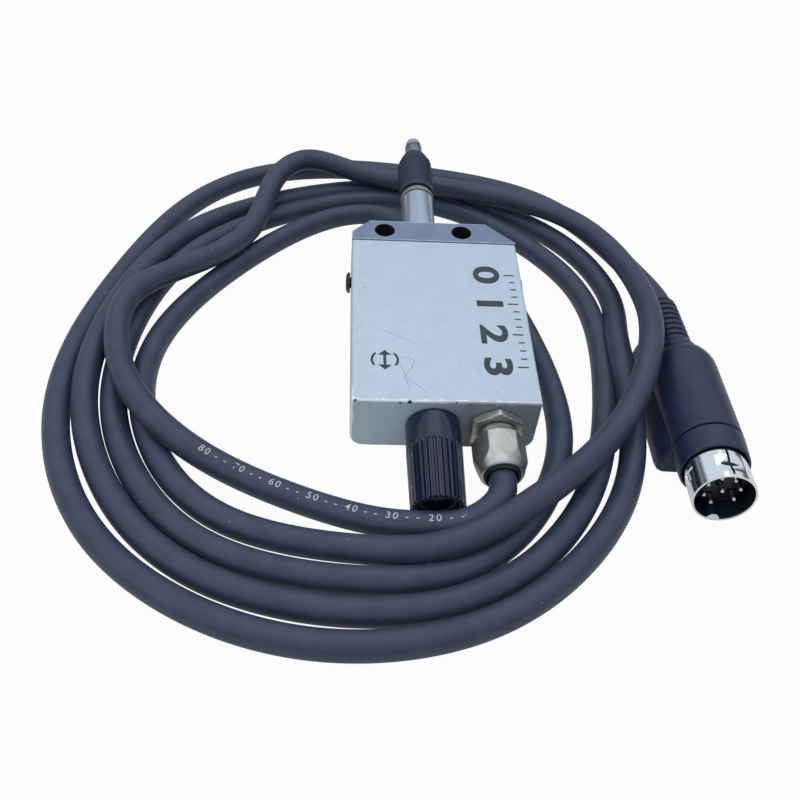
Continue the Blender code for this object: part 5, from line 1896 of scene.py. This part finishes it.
@dataclass
class SignalPlug:
    """The moulded plug at the cord's end.

    A pair holds the two ends of a piece along the plug's axis, from the shell's mouth. seam, tab and key
    are where these lie round the shell, in radians.
    """

    frame: Frame = PLUG
    radius: float = 0.0073
    collar: tuple[float, float] = (0.0076, 0.0135)
    body: tuple[float, float] = (0.0138, 0.0425)
    boot: tuple[float, float] = (0.0428, 0.0625)
    shell_radius: float = 0.0062
    shell_wall: float = 0.0004
    shell_length: float = 0.0125
    seam: float = math.radians(88)
    tab: float = math.radians(170)
    key: float = math.radians(262)
    cross: float = 0.0036
    wing_reach: float = 0.0093
    wing_tip: float = 0.056
    boot_ribs: int = 8
    pin_radius: float = 0.0005
    pin_circle: float = 0.0035
    pin_tip: float = 0.0016
    pin_end: float = 0.0130
    first_pin_degrees: float = 293.0
    pin_step_degrees: float = 47.0
    made: list[bpy.types.Object] = field(default_factory=list)

    def build(self) -> list[bpy.types.Object]:
        """Make the plug's pieces and return them.

        Returns:
            the pieces.
        """
        self.make_body()
        self.make_boot()
        self.make_shell()
        self.make_pins()
        return self.made

    def keep(self, piece: bpy.types.Object, slot: str, *nodes: str) -> None:
        """Dress a piece of the plug and remember it."""
        self.made.append(dressed(piece, "probe", slot, self.frame, "plug", *nodes))

    def make_body(self) -> None:
        """The collar, and the body with its side wing and the hollow behind the shell."""
        start, end = self.body
        hollow = self.shell_radius - self.shell_wall
        floor = start + 0.012
        mouth = softened([(start, hollow), (start, self.radius), (start + 0.002, self.radius)], 0.0002)
        back = softened(
            [(start, hollow), (start, self.radius), (end - 0.0042, self.radius), (end, 0.0056), (end, 0.0)],
            0.0022, 8,
        )
        outline = np.vstack([[(floor, 0.0), (floor, hollow)], mouth[:-1], back[back[:, 0] > end - 0.0090]])
        body = revolve("plug_body_round", refined(outline, 0.0012), self.frame, 96)
        cut(body, self.make_wing(), operation="UNION")
        cleaned_in_place(body)
        self.keep(body, "plug_plastic", "plug_body")
        start, end = self.collar
        inner = self.shell_radius + GAP
        outline = [
            (start, inner), (start, 0.0068), (start + 0.0003, 0.0070), (end - 0.0003, 0.0073),
            (end, 0.0071), (end, inner),
        ]
        collar = ring("plug_collar_ring", outline, 0.0002, self.frame)
        self.keep(collar, "plug_plastic", "plug_collar")

    def make_wing(self) -> bpy.types.Object:
        """The low wing at the body's left side, sloping down from the round body, its ends drawn in.

        One section is carried along y. Its x is scaled by each place's reach, and its height above the
        wing's foot falls in a straight line to 0.28 of itself at the tip.

        Returns:
            the wing.
        """
        start, tip = self.body[0] + 0.0001, self.wing_tip
        low = 0.0001 - self.radius
        section = softened(
            [
                (-0.001, low), (-self.wing_reach, low), (-self.wing_reach, low + 0.0026), (-0.0069, 0.0012),
                (-0.0058, 0.0035), (-0.001, 0.0035),
            ],
            0.0011, 4, True,
        )
        places = (
            (start, 0.90), (start + 0.0005, 0.97), (start + 0.0020, 1.0), (tip - 0.0125, 1.0),
            (tip - 0.0105, 0.99), (tip - 0.0040, 0.82), (tip - 0.0006, 0.64), (tip, 0.60),
        )
        slope_start = self.body[1] - 0.006
        rows = []
        for y, reach in places:
            back = max(0.0, (y - slope_start) / (tip - slope_start))
            height = (section[:, 1] - low) * (1.0 - 0.72 * back) + low
            rows.append(np.column_stack([section[:, 0] * reach, np.full(len(section), y), height]))
        return skin("plug_wing_blade", np.array(rows), self.frame, caps=True)

    def make_boot(self) -> None:
        """The ribbed boot that stops the cord from kinking.

        Rib k starts at the first rib's place plus k times the pitch, and the ribs' radius falls evenly.
        """
        start, end = self.boot
        bore, ribs = CORD_PASSAGE, self.boot_ribs
        groove = 0.0007
        pitch = (end - start - 0.0035) / ribs
        outline = [(start, bore), (start, 0.0050), (start + 0.0018, 0.0047), (start + 0.0030, 0.0041)]
        for k in range(ribs):
            y = start + 0.0033 + k * pitch
            radius = 0.0040 - 0.0004 * k / ribs
            outline += [(y, radius), (y + pitch * 0.62, radius)]
            outline += [(y + pitch * 0.68, radius - groove), (y + pitch * 0.94, radius - groove)]
        outline += [(end, 0.0036), (end, bore)]
        boot = ring("plug_boot_ribbed", outline, 0.0002, self.frame, 84)
        self.keep(boot, "plug_plastic", "plug_boot")

    def make_shell(self) -> None:
        """The bright shell: a thin sheet with its seam, pressed cross, latch tabs and key."""
        hollow = self.shell_radius - self.shell_wall
        outer = refined(np.array([(0.0, self.shell_radius), (self.shell_length, self.shell_radius)]), 0.00012)
        inner = refined(np.array([(self.shell_length, hollow), (0.0, hollow)]), 0.0004)
        outline = np.vstack([outer, inner])

        def away(angle: Array, place: float) -> Array:
            """The way round the shell from a place: the angle between them times the radius."""
            return (np.mod(angle - place + np.pi, 2 * np.pi) - np.pi) * self.shell_radius

        def hump(distance: Array, half: float) -> Array:
            """One less the square of the distance over half the hump's width, and no less than 0."""
            return np.clip(1.0 - (distance / half) ** 2, 0.0, 1.0)

        def pressed(y: Array, radius: Array, angle: Array) -> Array:
            """The radius less the pressed cross and the tab, and in the inner wall less the key.

            Args:
                y: the place along the axis.
                radius: the profile's radius there.
                angle: the place round the axis.

            Returns:
                the radius at each point.
            """
            bulge = hump(away(angle, self.seam), 0.0028) * hump(y - self.cross, 0.0022)
            tab = (np.abs(away(angle, self.tab)) < 0.0014) & (np.abs(y - 0.0046) < 0.0012)
            key = np.sqrt(hump(away(angle, self.key), 0.0014)) * np.clip((0.0048 - y) / 0.0006, 0.0, 1.0)
            inner_wall = radius < self.shell_radius - self.shell_wall / 2
            return radius - 0.0003 * bulge - 0.0003 * tab - 0.0013 * key * inner_wall

        shell = revolve("plug_shell_pressed", outline, self.frame, 288, True, pressed)
        middle = self.shell_radius * math.cos(self.seam)
        left, right = middle - 0.00024, middle + 0.00024
        slit = [(left, 0.0004), (right, 0.0004), (right, 0.0074), (left, 0.0074)]
        lens = [
            (middle + 0.0018 * math.cos(t), self.cross + 0.0007 * math.sin(t))
            for t in np.linspace(0.0, 2 * np.pi, 24, endpoint=False)
        ]
        tools = (("slit", slit), ("lens", lens))
        cut(shell, *(prism(name, shape, 0.004, 0.008, self.frame) for name, shape in tools))
        cleaned_in_place(shell)
        self.keep(shell, "bright_chrome", "plug_shell")
        # Painted shade on the shell's inner wall
        self.shade_shell_inside(shell)

    def shade_shell_inside(self, shell: bpy.types.Object) -> None:
        """Paint shade on the shell's inner wall, giving its faces a near-black finish.

        Args:
            shell: the shell.
        """
        # Painted shade: the inner wall's faces take a near-black finish
        shell.data.materials.append(PAINTS.material("chip_black", self.frame, "plug"))
        local = (mesh_points(shell.data) - np.array(self.frame.origin)) @ self.frame.matrix()
        inside = np.hypot(local[:, 0], local[:, 2]) < self.shell_radius - self.shell_wall + 0.00005
        for polygon in shell.data.polygons:
            corners = list(polygon.vertices)
            if local[corners[0]][1] > 0.0004 and inside[corners].all():
                polygon.material_index = 1

    def make_pins(self) -> None:
        """The eight round-nosed pins: one in the middle and seven round it."""
        places = [(0.0, 0.0)]
        for k in range(7):
            angle = math.radians(self.first_pin_degrees + self.pin_step_degrees * k)
            places.append((-self.pin_circle * math.cos(angle), self.pin_circle * math.sin(angle)))
        outline = []
        radius = self.pin_radius
        for k in range(8):
            angle = math.pi / 2 * k / 7
            outline.append((self.pin_tip + radius * (1 - math.cos(angle)), radius * math.sin(angle)))
        outline += [(self.pin_end, radius), (self.pin_end, 0.0)]
        for number, (x, z) in enumerate(places, 1):
            pin = revolve(f"pin_{number}_round", outline, self.frame.shifted((x, 0.0, z)), 28)
            self.keep(pin, "pin_nickel", f"pin_{number}")


def dress_kept_nodes(frame: dict) -> None:
    """Give the CAD nodes that stay, most of them inside the case, the material of their slot.
    """
    slots = {part["node"]: part["material_slot"] for part in frame["record"]["subparts"]}
    for name, node in frame["nodes"].items():
        place = PLUG if name.startswith("plug") else SEAT
        label = "kept_plug" if place is PLUG else "kept"
        node.data.materials.clear()
        node.data.materials.append(PAINTS.material(slots[name], place, label))


@dataclass(frozen=True)
class Lamp:
    """An area lamp: where it hangs, how large and how strong it is. It points at the object."""

    name: str
    place: Point
    size: float
    power: float
    colour: Colour

    def hang(self) -> None:
        """Make the lamp."""
        data = bpy.data.lights.new(self.name, "AREA")
        data.size = self.size
        data.energy = self.power
        data.color = self.colour
        lamp = linked(self.name, data)
        lamp.location = self.place
        lamp.rotation_mode = "QUATERNION"
        lamp.rotation_quaternion = (-Vector(self.place)).to_track_quat("-Z", "Y")


LAMP_WHITE: Colour = (1.0, 0.99, 0.97)
LAMPS = (
    Lamp("overhead", (-0.05, 0.15, 1.00), 1.1, 2.2, LAMP_WHITE),
    Lamp("left", (-0.75, -0.35, 0.45), 0.6, 0.9, LAMP_WHITE),
)
PURE_WHITE: Colour = (1.0, 1.0, 1.0)
SKY_BLUE: Colour = (0.78, 0.88, 1.0)


def make_sky() -> None:
    """An even sky that is brighter toward the top, seen by the camera as plain white."""
    world = bpy.data.worlds.new("studio")
    bpy.context.scene.world = world
    nodes = emptied(world)
    path = nodes.add("ShaderNodeLightPath").outputs
    toward = nodes.add("ShaderNodeTexCoord").outputs["Generated"]
    height = nodes.add("ShaderNodeSeparateXYZ", {0: toward}).outputs[2]
    bright = nodes.ramp(height, 0.22, 0.40, 0.16, 0.86)
    sky = nodes.add("ShaderNodeBackground", {"Color": opaque(SKY_BLUE), "Strength": bright}).outputs[0]
    white = nodes.add("ShaderNodeBackground", {"Color": opaque(PURE_WHITE), "Strength": 1.0}).outputs[0]
    shown = nodes.add("ShaderNodeMixShader", {0: path["Is Camera Ray"], 1: sky, 2: white})
    nodes.add("ShaderNodeOutputWorld", {"Surface": shown.outputs[0]})


def make_floor() -> None:
    """A sheet of paper that glows toward the camera and in reflections, so that it looks white."""
    half = FLOOR_HALF
    corners = np.array([(-half, -half, 0.0), (half, -half, 0.0), (half, half, 0.0), (-half, half, 0.0)])
    floor = mesh_object("floor", corners, np.array([[0, 1, 2, 3]]))
    paper = bpy.data.materials.new("floor_paper")
    nodes = emptied(paper)
    path = nodes.add("ShaderNodeLightPath").outputs
    source = nodes.add("ShaderNodeTexCoord").outputs["Object"]
    fibre = nodes.ramp(nodes.noise(source, 900.0, 4.0, 0.6), 0.3, 0.7, 0.60, 0.64)
    tint = nodes.add("ShaderNodeCombineColor", {0: fibre, 1: fibre, 2: fibre}).outputs[0]
    diffuse = nodes.add("ShaderNodeBsdfDiffuse", {"Color": tint, "Roughness": 0.6}).outputs[0]
    glow = nodes.add("ShaderNodeEmission", {"Color": opaque(PURE_WHITE), "Strength": 1.0}).outputs[0]
    seen = nodes.math("MAXIMUM", path["Is Camera Ray"], path["Is Glossy Ray"])
    seen = nodes.math("MAXIMUM", seen, path["Is Transmission Ray"])
    direct = nodes.math("MULTIPLY", path["Is Camera Ray"], 0.56)
    share = nodes.math("ADD", direct, nodes.math("MULTIPLY", seen, 0.40))
    mix = nodes.add("ShaderNodeMixShader", {0: share, 1: diffuse, 2: glow})
    nodes.add("ShaderNodeOutputMaterial", {"Surface": mix.outputs[0]})
    floor.data.materials.append(paper)


def make_camera() -> None:
    """The camera where the photograph was taken from."""
    data = bpy.data.cameras.new("camera")
    data.lens = CAMERA_LENS
    data.sensor_width = CAMERA_SENSOR
    data.clip_start, data.clip_end = CAMERA_CLIP
    camera = linked("camera", data)
    turn = Matrix.Rotation(-CAMERA_RIGHT, 4, "Z") @ Matrix.Rotation(math.pi / 2 - CAMERA_DOWN, 4, "X")
    camera.matrix_world = Matrix.Translation(CAMERA_PLACE) @ turn @ Matrix.Rotation(CAMERA_ROLL, 4, "Z")
    bpy.context.scene.camera = camera


def report(before: set[bpy.types.Object]) -> None:
    """Log each piece that was made since, with its number of faces.

    Args:
        before: the objects that were there already.
    """
    for piece in bpy.context.scene.objects:
        if piece.type == "MESH" and piece not in before:
            log.info("%s: %d faces", piece.name, len(piece.data.polygons))


def main() -> None:
    """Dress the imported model: build each assembly in order and report its pieces."""
    logging.basicConfig(level=logging.INFO)
    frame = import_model()
    bpy.context.scene.view_settings.view_transform = "Standard"
    make_sky()
    make_floor()
    for lamp in LAMPS:
        lamp.hang()
    make_camera()
    dress_kept_nodes(frame)
    known = set(bpy.context.scene.objects)
    plug_pieces = SignalPlug().build()
    SignalCord().build(["plug_insert"], plug_pieces)
    report(known)
    for assembly in (CaseAssembly(), FlangeAssembly(), ContactEnd(), RearCap(), CordGland()):
        known = set(bpy.context.scene.objects)
        assembly.build()
        report(known)


if __name__ == "__main__":
    main()
